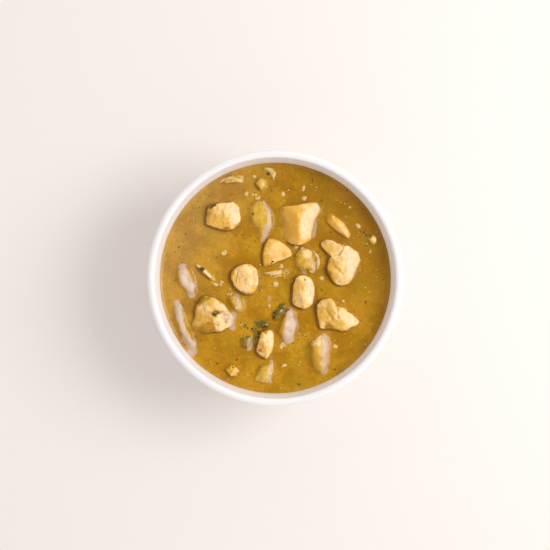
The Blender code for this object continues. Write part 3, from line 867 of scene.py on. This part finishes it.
def make_shreds(name, x, y, length, width, turn, bend, material, steps, around, face,
                flat):
    """Thin strands joined in one mesh: each is a flattened round profile carried along an arc on
    a face, thickest in its middle and tapering to both ends."""
    share = np.linspace(-1.0, 1.0, steps)
    along = share * length[:, None] / 2
    aside = bend[:, None] * (share**2 - 0.5) * length[:, None] / 2
    thick = np.sqrt(1.05 - share**2) * width[:, None] / 2
    spin = np.linspace(0.0, math.tau, around, endpoint=False)
    a = along[..., None] + 0.0 * spin
    b = aside[..., None] + thick[..., None] * np.cos(spin)
    c = thick[..., None] * flat * np.sin(spin)
    cos, sin = np.cos(turn)[:, None, None], np.sin(turn)[:, None, None]
    across = x[:, None, None] + a * cos - b * sin
    up = y[:, None, None] + a * sin + b * cos
    rings = np.stack([across, up, face(across.mean(2), up.mean(2))[..., None] + c], -1)
    count = len(x)
    ends = [rings[:, 0].mean(1, keepdims=True), rings[:, -1].mean(1, keepdims=True)]
    points = np.concatenate([rings.reshape(count, -1, 3), *ends], 1)
    _, faces = closed_grid(np.zeros((steps, around, 3)), (0, 0, 0), (0, 0, 0))
    join_copies(name, points, faces, material)


# Small bits that stand out, in millimetres: middle of the cluster, its spread, how many bits
PALE_CLUSTERS = [
    (47.5, 30.0, 0.5, 2), (-29.1, 14.6, 1.2, 4), (-0.4, -3.2, 1.2, 5), (16.5, 50.8, 0.8, 2),
    (16.9, 46.4, 1.0, 3), (-25.4, -9.7, 1.4, 3), (-21.4, -15.4, 1.2, 3), (3.8, -38.9, 1.4, 4),
    (34.2, -38.9, 1.0, 3), (-3.6, -16.0, 0.5, 2), (6.1, -49.8, 0.6, 3), (-16.6, 48.0, 0.8, 3),
    (-10.5, 46.5, 1.8, 4), (39.9, -13.2, 0.8, 2), (22.8, -37.8, 1.6, 4), (4.2, 47.8, 0.3, 1),
    (42.6, 41.0, 0.4, 1), (3.9, 7.4, 1.2, 3), (26.8, 0.2, 0.6, 2), (-32.0, -3.2, 1.6, 5),
    (12.5, 17.0, 1.6, 3), (21.6, 5.6, 1.6, 4), (-11.2, 57.8, 0.7, 2), (-20.0, 57.4, 1.0, 3),
]
DARK_CLUSTERS = [
    (41.6, 50.4, 0.5, 2), (21.2, 56.2, 0.9, 4), (-51.6, 25.0, 0.4, 2), (31.8, 26.0, 0.6, 3),
    (26.5, -7.0, 0.5, 2), (-33.1, -48.9, 0.4, 2), (-21.8, -46.5, 0.7, 3), (13.7, -60.8, 0.6, 3),
    (34.4, -51.9, 0.6, 3), (50.2, 26.0, 1.6, 7), (54.2, 11.4, 0.5, 2), (26.6, 44.2, 0.4, 2),
    (-1.4, 9.0, 1.0, 4), (-14.2, -30.0, 1.2, 6), (-9.4, -33.0, 1.2, 8), (-55.0, 18.0, 0.6, 3),
    (3.4, -16.4, 1.4, 8), (24.0, 12.0, 1.6, 6), (-36.0, 48.0, 0.4, 2), (52.0, -14.0, 0.6, 3),
    (-6.5, -27.5, 1.6, 8), (-9.5, -31.0, 1.2, 6), (1.0, -19.5, 1.8, 10), (-1.0, -23.0, 1.0, 5),
]
PULP_CLUSTERS = [
    (-35.6, -0.6, 1.6, 7), (-1.4, 1.2, 2.2, 8), (5.4, 1.6, 2.2, 7), (14.2, 12.0, 1.4, 5),
    (-9.5, 43.0, 1.6, 5), (-23.5, 57.5, 1.8, 6), (17.0, 6.0, 1.6, 5), (-10.8, 33.0, 1.4, 4),
    (-24.0, -14.0, 1.8, 5), (54.0, 22.0, 0.8, 3), (-25.5, -52.0, 2.0, 5), (23.0, -40.0, 1.2, 4),
]
LEAF_CLUSTERS = [
    (-10.2, -26.0, 1.2, 8), (-6.6, -25.4, 1.0, 6), (-11.6, -30.0, 0.9, 8), (-11.8, -34.0, 0.6, 6),
    (-11.4, -38.0, 0.6, 3), (3.6, -16.6, 1.2, 8), (1.0, -20.4, 1.0, 6), (6.0, -18.6, 0.8, 3),
    (-34.0, -19.0, 0.8, 3), (-37.2, 41.5, 0.6, 2), (-17.8, -27.0, 0.8, 2), (53.0, 24.0, 1.2, 3),
]
RED_CLUSTERS = [(-9.2, -41.3, 0.6, 4), (-8.2, -41.9, 0.3, 2)]


# Pale strands that curl out of the gravy, in millimetres and degrees: middle, length, width,
# direction, bend as a share of the length
STRANDS = [
    (-2.9, 60.4, 9.0, 2.3, -50, -0.45), (-25.6, 56.0, 12.5, 2.0, 0, -0.35),
    (-4.2, 34.5, 15.0, 1.0, -76, -0.28), (-2.6, -53.8, 11.0, 1.4, 80, 0.0),
    (23.6, 10.4, 11.0, 1.8, -80, -0.35),
    (-1.5, 3.4, 11.0, 1.5, 8, 0.15), (2.0, 1.2, 9.0, 1.1, 12, -0.1),
]


def clustered_places(clusters, seed):
    """Level places scattered round each cluster's middle by its spread."""
    random = np.random.default_rng(seed)
    table = np.array(clusters)
    rows = np.repeat(table, table[:, 3].astype(int), axis=0)
    offset = random.normal(0.0, 0.6, (len(rows), 2)) * rows[:, 2:3]
    places = (rows[:, :2] + offset) * MM
    return places[:, 0], places[:, 1], random


# Small bits on the gravy's face: piece, how many or which clusters, seed, size from and to and how
# deep it is sunk in millimetres, width and height as shares of the size, material, slot, rings and
# points round each bit, and the range of its random dents
PEBBLE = (0.72, 1.18)
BITS = [
    ("chile_flakes", 150, 111, 0.5, 1.3, 0.0, 0.6, 0.22, "flake", "chile", 3, 7, PEBBLE),
    ("pale_crumbs", 60, 121, 0.6, 1.5, 0.0, 0.75, 0.45, "crumb", "chicken", 3, 7, PEBBLE),
    ("pale_bits", PALE_CLUSTERS, 141, 1.8, 4.2, 0.1, 0.7, 0.16, "crumb", "chicken", 4, 9,
     (0.86, 1.12)),
    ("dark_bits", DARK_CLUSTERS, 151, 0.5, 1.2, 0.0, 0.75, 0.35, "pepper", "chile", 4, 8, PEBBLE),
    ("yellow_pulp", PULP_CLUSTERS, 181, 1.0, 2.8, 0.05, 0.65, 0.2, "pulp", "onion", 4, 9,
     (0.8, 1.15)),
    ("herb_leaves", LEAF_CLUSTERS, 171, 1.4, 3.0, 0.0, 0.6, 0.22, "herb", "chile", 4, 8, PEBBLE),
    ("red_chile_bits", RED_CLUSTERS, 161, 0.7, 1.3, 0.0, 0.7, 0.35, "red", "chile", 4, 8, PEBBLE),
]
STRAND_DEPTH = 0.1 * MM
THREAD_DEPTH = 0.05 * MM


def make_scatter(heights, chunk_heights, materials):
    """Pepper, flakes, crumbs, bits, strands and threads on the gravy's face and on the chunks."""
    def face(x, y):
        return np.maximum(gravy_height(heights, x, y), sampled(chunk_heights, x, y))

    def strand_face(x, y):
        return face(x, y) - STRAND_DEPTH

    def spread(count, seed):
        x, y = scattered_places(count, seed, chunk_heights)
        return x, y, np.random.default_rng(seed + 1)

    def full_turn(random, count):
        return random.uniform(0, math.tau, count)

    x, y, random = spread(380, 101)
    size = random.uniform(0.22, 0.5, len(x)) ** 1.4 * 1.5 * MM
    make_flakes("pepper_specks", (x, y, face(x, y)), (size, size * 0.8, size * 0.55),
                full_turn(random, len(x)), 102, materials["pepper"], "gravy", 3, 6, PEBBLE)
    for name, given, seed, small, large, sunk, wide, tall, kind, slot, *shape in BITS:
        scattered = isinstance(given, int)
        x, y, random = spread(given, seed) if scattered else clustered_places(given, seed)
        size = random.uniform(small, large, len(x)) * MM
        make_flakes(name, (x, y, face(x, y) - sunk * MM), (size, size * wide, size * tall),
                    full_turn(random, len(x)), seed + 1, materials[kind], slot, *shape)
    table = np.array(STRANDS)
    x, y, length, width = (table[:, column] * MM for column in range(4))
    make_shreds("pale_strands", x, y, length, width, np.radians(table[:, 4]), table[:, 5],
                materials["strand"], 17, 10, strand_face, 0.36)
    x, y, random = spread(40, 131)
    z = face(x, y) - THREAD_DEPTH
    make_shreds("chicken_threads", x, y, random.uniform(1.0, 2.8, len(x)) * MM,
                random.uniform(0.18, 0.36, len(x)) * MM, full_turn(random, len(x)),
                random.uniform(-0.3, 0.3, len(x)), materials["thread"], 7, 6,
                lambda along_x, along_y: z[:, None], 0.7)


# ---------------------------------------------------------------- materials

class Finish:
    """A Principled material under way, with short names for the nodes that it is made of.
    Patterns are laid in Object coordinates, so sizes are given in metres."""

    def __init__(self, name, **sockets):
        self.material = bpy.data.materials.new(name)
        self.material.use_nodes = True
        self.tree = self.material.node_tree
        self.shader = self.tree.nodes["Principled BSDF"]
        self.place = self.add("ShaderNodeTexCoord").outputs["Object"]
        for socket, value in sockets.items():
            self.shader.inputs[socket.replace("_", " ")].default_value = value

    def add(self, kind, **inputs):
        node = self.tree.nodes.new(kind)
        for socket, value in inputs.items():
            self.feed(node.inputs[socket], value)
        return node

    def feed(self, socket, value):
        if isinstance(value, bpy.types.NodeSocket):
            self.tree.links.new(value, socket)
        elif isinstance(value, tuple) and len(value) == 3 and socket.type == "RGBA":
            socket.default_value = (*value, 1.0)
        else:
            socket.default_value = value

    def noise(self, size, detail=2.0, roughness=0.5, squeeze=None):
        """Noise with features of a size in metres, as long as squeeze says along each axis."""
        place = self.place
        if squeeze:
            mapping = self.add("ShaderNodeMapping", Vector=place, Scale=squeeze)
            place = mapping.outputs["Vector"]
        node = self.add("ShaderNodeTexNoise", Vector=place, Scale=1.0 / size, Detail=detail,
                        Roughness=roughness)
        return node.outputs["Fac"]

    def band(self, value, low, high, start=0.0, end=1.0):
        """Value taken from low..high to start..end by a smooth step."""
        node = self.add("ShaderNodeMapRange")
        node.interpolation_type = "SMOOTHSTEP"
        for socket, given in zip(("Value", "From Min", "From Max", "To Min", "To Max"),
                                 (value, low, high, start, end)):
            self.feed(node.inputs[socket], given)
        return node.outputs["Result"]

    def mix(self, share, first, second):
        """Colour between first and second."""
        node = self.tree.nodes.new("ShaderNodeMix")
        node.data_type = "RGBA"
        self.feed(node.inputs[0], share)
        self.feed(node.inputs[6], first)
        self.feed(node.inputs[7], second)
        return node.outputs[2]

    def maths(self, operation, first, second):
        node = self.tree.nodes.new("ShaderNodeMath")
        node.operation = operation
        self.feed(node.inputs[0], first)
        self.feed(node.inputs[1], second)
        return node.outputs[0]

    def mask(self, name):
        node = self.tree.nodes.new("ShaderNodeAttribute")
        node.attribute_name = name
        return node.outputs["Fac"]

    def part(self, name, share):
        """A share of a mask."""
        return self.maths("MULTIPLY", self.mask(name), share)

    def specks(self, size, radius, keep):
        """Ragged dots about one per cell of a size in metres, of a radius in cells, in a share of
        the cells."""
        node = self.add("ShaderNodeTexVoronoi", Vector=self.place, Scale=1.0 / size)
        chosen = self.tree.nodes.new("ShaderNodeSeparateColor")
        self.tree.links.new(node.outputs["Color"], chosen.inputs["Color"])
        ragged = self.band(self.noise(size / 4), 0.3, 0.7, -0.12, 0.12)
        near = self.band(self.maths("ADD", node.outputs["Distance"], ragged), radius, radius * 0.3)
        kept = self.band(chosen.outputs[0], 1 - keep, 1 - keep + 0.01)
        return self.maths("MULTIPLY", near, kept)

    def height(self):
        """Height of the surface over the foot, in metres."""
        node = self.add("ShaderNodeSeparateXYZ", Vector=self.place)
        return node.outputs["Z"]

    def finish(self, colour, roughness, relief=None, depth=0.0):
        """Join colour, roughness and a bump of a depth in metres to the shader."""
        self.feed(self.shader.inputs["Base Color"], colour)
        self.feed(self.shader.inputs["Roughness"], roughness)
        if relief is not None:
            bump = self.add("ShaderNodeBump", Height=relief, Distance=depth, Strength=1.0)
            self.feed(self.shader.inputs["Normal"], bump.outputs["Normal"])
        return self.material


def porcelain_finish():
    """White glaze with faint waves, a film of gravy above the fill line, and a bare foot."""
    glaze = Finish("white_glaze", IOR=1.52)
    z = glaze.height()
    shade = glaze.band(glaze.noise(30 * MM, 2), 0.3, 0.7)
    colour = glaze.mix(shade, PORCELAIN, tuple(0.97 * part for part in PORCELAIN))
    ragged = glaze.maths("MULTIPLY", glaze.noise(3.5 * MM, 4, 0.6), 2.2 * MM)
    above = glaze.maths("SUBTRACT", z, ragged)
    film = glaze.band(above, GRAVY_LEVEL + 2.0 * MM, GRAVY_LEVEL - 0.6 * MM)
    film = glaze.maths("MULTIPLY", film, glaze.part("inner", 0.65))
    colour = glaze.mix(film, colour, FILM)
    bare = glaze.band(z, 0.5 * MM, 0.25 * MM)
    grit = glaze.noise(0.5 * MM, 3)
    colour = glaze.mix(bare, colour, glaze.mix(grit, BARE_CLAY, PORCELAIN))
    roughness = glaze.maths("ADD", glaze.band(glaze.noise(14 * MM, 3), 0.3, 0.7, 0.07, 0.13),
                            glaze.maths("MULTIPLY", bare, 0.6))
    relief = glaze.noise(9 * MM, 1)
    return glaze.finish(colour, roughness, relief, 0.05 * MM)


def gravy_colour(finish):
    """Olive gold, clouded with deeper, greener and oranger patches, with fine dark dust."""
    colour = finish.mix(finish.band(finish.noise(14 * MM, 4, 0.6), 0.38, 0.62),
                        GRAVY_DEEP, GRAVY_GOLD)
    colour = finish.mix(finish.band(finish.noise(19 * MM, 4, 0.6), 0.5, 0.68, 0.0, 0.6),
                        colour, GRAVY_OLIVE)
    colour = finish.mix(finish.band(finish.noise(5 * MM, 4, 0.65), 0.53, 0.7, 0.0, 0.6),
                        colour, GRAVY_ORANGE)
    pulp = finish.band(finish.noise(1.5 * MM, 4, 0.7), 0.42, 0.64)
    colour = finish.mix(finish.maths("MULTIPLY", pulp, 0.5), colour, GRAVY_DEEP)
    dust = finish.specks(1.6 * MM, 0.24, 0.3)
    return finish.mix(finish.maths("MULTIPLY", dust, 0.55), colour, PEPPER)


def painted_glare_share(finish):
    """How much painted reflection of the pale window goes on a wet face: faint and broken where
    the face leans towards it, and full in the bands."""
    broken = finish.band(finish.noise(1.8 * MM, 3, 0.6), 0.35, 0.6, 0.03, 0.15)
    faint = finish.maths("MULTIPLY", finish.mask("wet"), broken)
    mottled = finish.band(finish.noise(1.4 * MM, 3, 0.6), 0.3, 0.6, 0.72, 0.95)
    full = finish.maths("MULTIPLY", finish.mask("sheen"), mottled)
    return finish.maths("MAXIMUM", faint, full)


def pooled_colour(finish):
    """Gravy colour with painted shade beside the chunks and towards the upper right, where the
    wall shades the gravy, painted light on the upper left, and paler where the gravy lies thin
    over a chunk."""
    # Painted shade beside the bare chunks and towards the upper right, where the wall shades the
    # gravy
    shade = finish.maths("MAXIMUM", finish.band(finish.mask("near"), 0.05, 0.6, 0.0, 0.85),
                         finish.part("wall_shade", 0.62))
    colour = finish.mix(shade, gravy_colour(finish), GRAVY_SHADE)
    # Painted light on the upper left
    colour = finish.mix(finish.part("painted_light", 0.09), colour, PAINTED_LIGHT_TINT)
    colour = finish.mix(finish.mask("murk"), colour, HERB_LIGHT)
    return finish.mix(finish.part("crown", 0.5), colour, GRAVY_PALE)


SAUCE = {"IOR": 1.42, "Specular_IOR_Level": 0.35, "Subsurface_Weight": 0.1,
         "Subsurface_Scale": 0.003}


def sauce_finish(sauce, colour):
    """Glossy sauce of a colour, with a fine uneven grain."""
    roughness = sauce.band(sauce.noise(2.5 * MM, 3), 0.3, 0.7, 0.16, 0.26)
    return sauce.finish(colour, roughness, sauce.noise(0.9 * MM, 3, 0.6), 0.05 * MM)


def gravy_finish():
    """Wet gravy with the window's reflection painted on it in pale streaks."""
    sauce = Finish("gravy_sauce", **SAUCE)
    return sauce_finish(sauce, sauce.mix(painted_glare_share(sauce), pooled_colour(sauce), PAINTED_GLARE))


def coated_finish():
    """A chunk under a glossy coat of gravy, with the gravy's painted shade and light, and the
    window's reflection painted on it.
    """
    coat = Finish("gravy_coat", **SAUCE)
    colour = pooled_colour(coat)
    yellow = coat.band(coat.noise(3.0 * MM, 4, 0.6), 0.35, 0.6, 0.15, 0.75)
    colour = coat.mix(coat.maths("MULTIPLY", coat.mask("stain"), yellow), colour, COAT_YELLOW)
    # Painted reflection of the window on the wet coat
    colour = coat.mix(painted_glare_share(coat), colour, PAINTED_GLARE)
    colour = coat.mix(coat.part("pale", 0.6), colour, CHICKEN_PALE)
    return sauce_finish(coat, coat.mix(coat.mask("fleck"), colour, PEPPER))


def food_finish(name, pale, warm, stain, painted_shade, roughness, relief_size, relief_depth, scatter):
    """Cooked food: warm flesh with paler patches, painted shade in grooves, on steep sides and on
    sides away from the window, gravy stains low down and in patches, painted highlights and
    reflections of the window, and dark flecks."""
    food = Finish(name, IOR=1.45, Specular_IOR_Level=0.4, Subsurface_Weight=scatter,
                  Subsurface_Scale=0.004)
    food.shader.inputs["Subsurface Radius"].default_value = (1.0, 0.6, 0.25)
    clouds = food.band(food.noise(5 * MM, 4, 0.6), 0.35, 0.65)
    colour = food.mix(clouds, warm, pale)
    colour = food.mix(food.part("pale", 0.8), colour, pale)
    # Painted shade in the hollows
    colour = food.mix(food.part("painted_shade", 0.42), colour, painted_shade)
    streaks = food.band(food.noise(2.4 * MM, 4, 0.65), 0.5, 0.68, 0.0, 0.5)
    patches = food.part("stain", 0.85)
    colour = food.mix(food.maths("MAXIMUM", patches, streaks), colour, stain)
    # Painted shade on steep sides and on sides facing away from the window
    colour = food.mix(food.part("edge", 0.6), colour, painted_shade)
    wet = food.maths("MAXIMUM", food.part("wade", 0.9), food.mask("coat"))
    colour = food.mix(wet, colour, gravy_colour(food))
    # Painted highlight where the face leans towards the window
    colour = food.mix(food.part("wet", 0.4), colour, PAINTED_HIGHLIGHT)
    # Painted reflection of the window on the coat patches and in the bands
    slick = food.maths("MAXIMUM", food.part("coat", 0.5),
                       food.mask("sheen"))
    colour = food.mix(food.maths("MULTIPLY", slick, painted_glare_share(food)), colour, PAINTED_GLARE)
    colour = food.mix(food.mask("fleck"), colour, FLECK)
    dust = food.specks(1.6 * MM, 0.13, 0.18)
    colour = food.mix(food.maths("MULTIPLY", dust, 0.5), colour, PEPPER)
    shine = food.band(food.noise(1.8 * MM, 3), 0.3, 0.7, roughness - 0.08, roughness + 0.1)
    shine = food.band(food.mask("coat"), 0.2, 0.9, shine, 0.14)
    return food.finish(colour, shine, food.noise(relief_size * MM, 4, 0.6), relief_depth * MM)


def small_finish(name, first, second, roughness):
    """A small bit's colour, varied from bit to bit by noise."""
    bit = Finish(name, IOR=1.4, Specular_IOR_Level=0.3)
    colour = bit.mix(bit.band(bit.noise(2 * MM, 2), 0.35, 0.65), first, second)
    return bit.finish(colour, bit.band(bit.noise(1 * MM), 0.3, 0.7, roughness, roughness + 0.15))


# Flesh of each bare food: colours (pale, warm, stain, painted shade), roughness, grain size and
# depth in millimetres, and how much light goes through it
FLESH = {
    "chicken": (CHICKEN_PALE, CHICKEN_WARM, CHICKEN_STAIN, CHICKEN_SHADE, 0.36, 0.9, 0.07, 0.2),
    "potato": (POTATO_PALE, POTATO_WARM, CHICKEN_STAIN, POTATO_SHADE, 0.28, 1.4, 0.04, 0.2),
    "onion": (ONION_PALE, ONION_WARM, GRAVY_PALE, ONION_WARM, 0.2, 1.2, 0.04, 0.25),
    "chile": (CHILE_FLESH, CHILE_SKIN, GRAVY_DEEP, CHILE_SKIN, 0.2, 1.0, 0.08, 0.05),
}

# Small bits: the material's name, its two colours, and its roughness
SMALL = {
    "pepper": ("black_pepper", PEPPER, PEPPER_LIGHT, 0.4),
    "flake": ("chile_flake", FLAKE_DARK, FLAKE_LIGHT, 0.4),
    "herb": ("herb_leaf", HERB, HERB_LIGHT, 0.4),
    "crumb": ("pale_crumb", CRUMB_PALE, CRUMB_WARM, 0.25),
    "pulp": ("yellow_pulp", PULP_PALE, PULP_WARM, 0.25),
    "strand": ("pale_strand", STRAND_PALE, STRAND_WARM, 0.2),
    "red": ("red_chile", CHILI_RED, CHILI_ORANGE, 0.25),
    "thread": ("stained_thread", GRAVY_PALE, CHICKEN_WARM, 0.25),
}


def make_materials():
    materials = {"porcelain": porcelain_finish(), "gravy": gravy_finish(),
                 "coated": coated_finish()}
    materials.update({food: food_finish(food + "_flesh", *look) for food, look in FLESH.items()})
    materials.update({bit: small_finish(*look) for bit, look in SMALL.items()})
    return materials


# ---------------------------------------------------------------- stage

CAMERA_HEIGHT = 812.0 * MM
VIEW_WIDTH = 311.0 * MM
SENSOR_WIDTH = 36.0
CAMERA_OFFSET = (-0.17 * MM, 1.75 * MM)
CAMERA_NEAR = 0.01
FLOOR_REACH = 3.0
FLOOR_COLOURS = ((0.845, 0.79, 0.745), (0.86, 0.805, 0.76))
WINDOW_SIZE = (0.60, 0.62)
WINDOW_DISTANCE = 1.15
WINDOW_ENERGY = 6.9
WINDOW_COLOUR = (0.95, 0.98, 1.0)
SURROUND_COLOUR = (1.0, 0.985, 0.97, 1.0)

# Brightness of the surround along an axis of the view direction: from, to, and the two values
SURROUND = [("Z", "SMOOTHSTEP", (0.70, 0.97, 1.0, 0.43)), ("X", "LINEAR", (-1.0, 1.0, 0.92, 1.04))]


def make_floor():
    """A plain pale floor under the bowl."""
    side = FLOOR_REACH
    corners = [(-side, -side, 0), (side, -side, 0), (side, side, 0), (-side, side, 0)]
    mesh = bpy.data.meshes.new("floor")
    mesh.from_pydata(corners, [], [(0, 1, 2, 3)])
    paper = Finish("pale_paper")
    colour = paper.mix(paper.noise(200 * MM), *FLOOR_COLOURS)
    mesh.materials.append(paper.finish(colour, 0.6))
    floor = bpy.data.objects.new("floor", mesh)
    bpy.context.scene.collection.objects.link(floor)


def make_light():
    """A bright soft window light from the right, and a pale surround that is dimmer overhead."""
    light = bpy.data.lights.new("window", "AREA")
    light.shape = "RECTANGLE"
    light.size, light.size_y = WINDOW_SIZE
    light.energy = WINDOW_ENERGY
    light.color = WINDOW_COLOUR
    window = bpy.data.objects.new("window", light)
    side, height = math.radians(WINDOW_SIDE), math.radians(WINDOW_HEIGHT)
    place = WINDOW_DISTANCE * Vector((
        math.cos(height) * math.cos(side), math.cos(height) * math.sin(side), math.sin(height)))
    window.location = place
    window.rotation_euler = (-place).to_track_quat("-Z", "Y").to_euler()
    bpy.context.scene.collection.objects.link(window)
    world = bpy.data.worlds.new("surround")
    world.use_nodes = True
    tree = world.node_tree
    place = tree.nodes.new("ShaderNodeTexCoord").outputs["Generated"]
    parts = tree.nodes.new("ShaderNodeSeparateXYZ")
    tree.links.new(place, parts.inputs[0])
    strength = tree.nodes.new("ShaderNodeMath")
    strength.operation = "MULTIPLY"
    for slot, (axis, kind, limits) in enumerate(SURROUND):
        ramp = tree.nodes.new("ShaderNodeMapRange")
        ramp.interpolation_type = kind
        for socket, value in zip(("From Min", "From Max", "To Min", "To Max"), limits):
            ramp.inputs[socket].default_value = value
        tree.links.new(parts.outputs[axis], ramp.inputs["Value"])
        tree.links.new(ramp.outputs["Result"], strength.inputs[slot])
    background = tree.nodes["Background"]
    background.inputs["Color"].default_value = SURROUND_COLOUR
    tree.links.new(strength.outputs["Value"], background.inputs["Strength"])
    bpy.context.scene.world = world


def make_camera():
    """A level camera straight above the bowl."""
    camera = bpy.data.cameras.new("camera")
    camera.sensor_width = SENSOR_WIDTH
    camera.lens = SENSOR_WIDTH * (CAMERA_HEIGHT - BOWL_HEIGHT) / VIEW_WIDTH
    camera.clip_start = CAMERA_NEAR
    holder = bpy.data.objects.new("camera", camera)
    holder.location = (*CAMERA_OFFSET, CAMERA_HEIGHT)
    bpy.context.scene.collection.objects.link(holder)
    bpy.context.scene.camera = holder


def make_everything():
    """Chunks first, then the gravy that rises round them, the bits on it, and the bowl."""
    bpy.context.scene.view_settings.view_transform = "Standard"
    make_camera()
    materials = make_materials()
    skins, masks = {}, {}
    for number, (node, look) in enumerate(CHUNKS.items()):
        skins[node], masks[node] = chunk_skin(node, look, 50 * number)
    heights, chunk_heights = gravy_map(skins), solid_map(skins)
    bare = [points for node, points in skins.items() if CHUNKS[node].food != "coated"]
    wet, near = glare_map(heights, chunk_heights), contact_shade_map(bare)
    for node, look in CHUNKS.items():
        points = skins[node]
        if look.food == "coated":
            points[..., 2] = lie_in_gravy(points, heights)
        masks[node].update(face_masks(points, wet, near))
        make_chunk(node, look, points, masks[node], materials)
    make_gravy(heights, wet, near, materials["gravy"])
    make_scatter(heights, chunk_heights, materials)
    make_bowl(materials["porcelain"])
    make_floor()
    make_light()


make_everything()
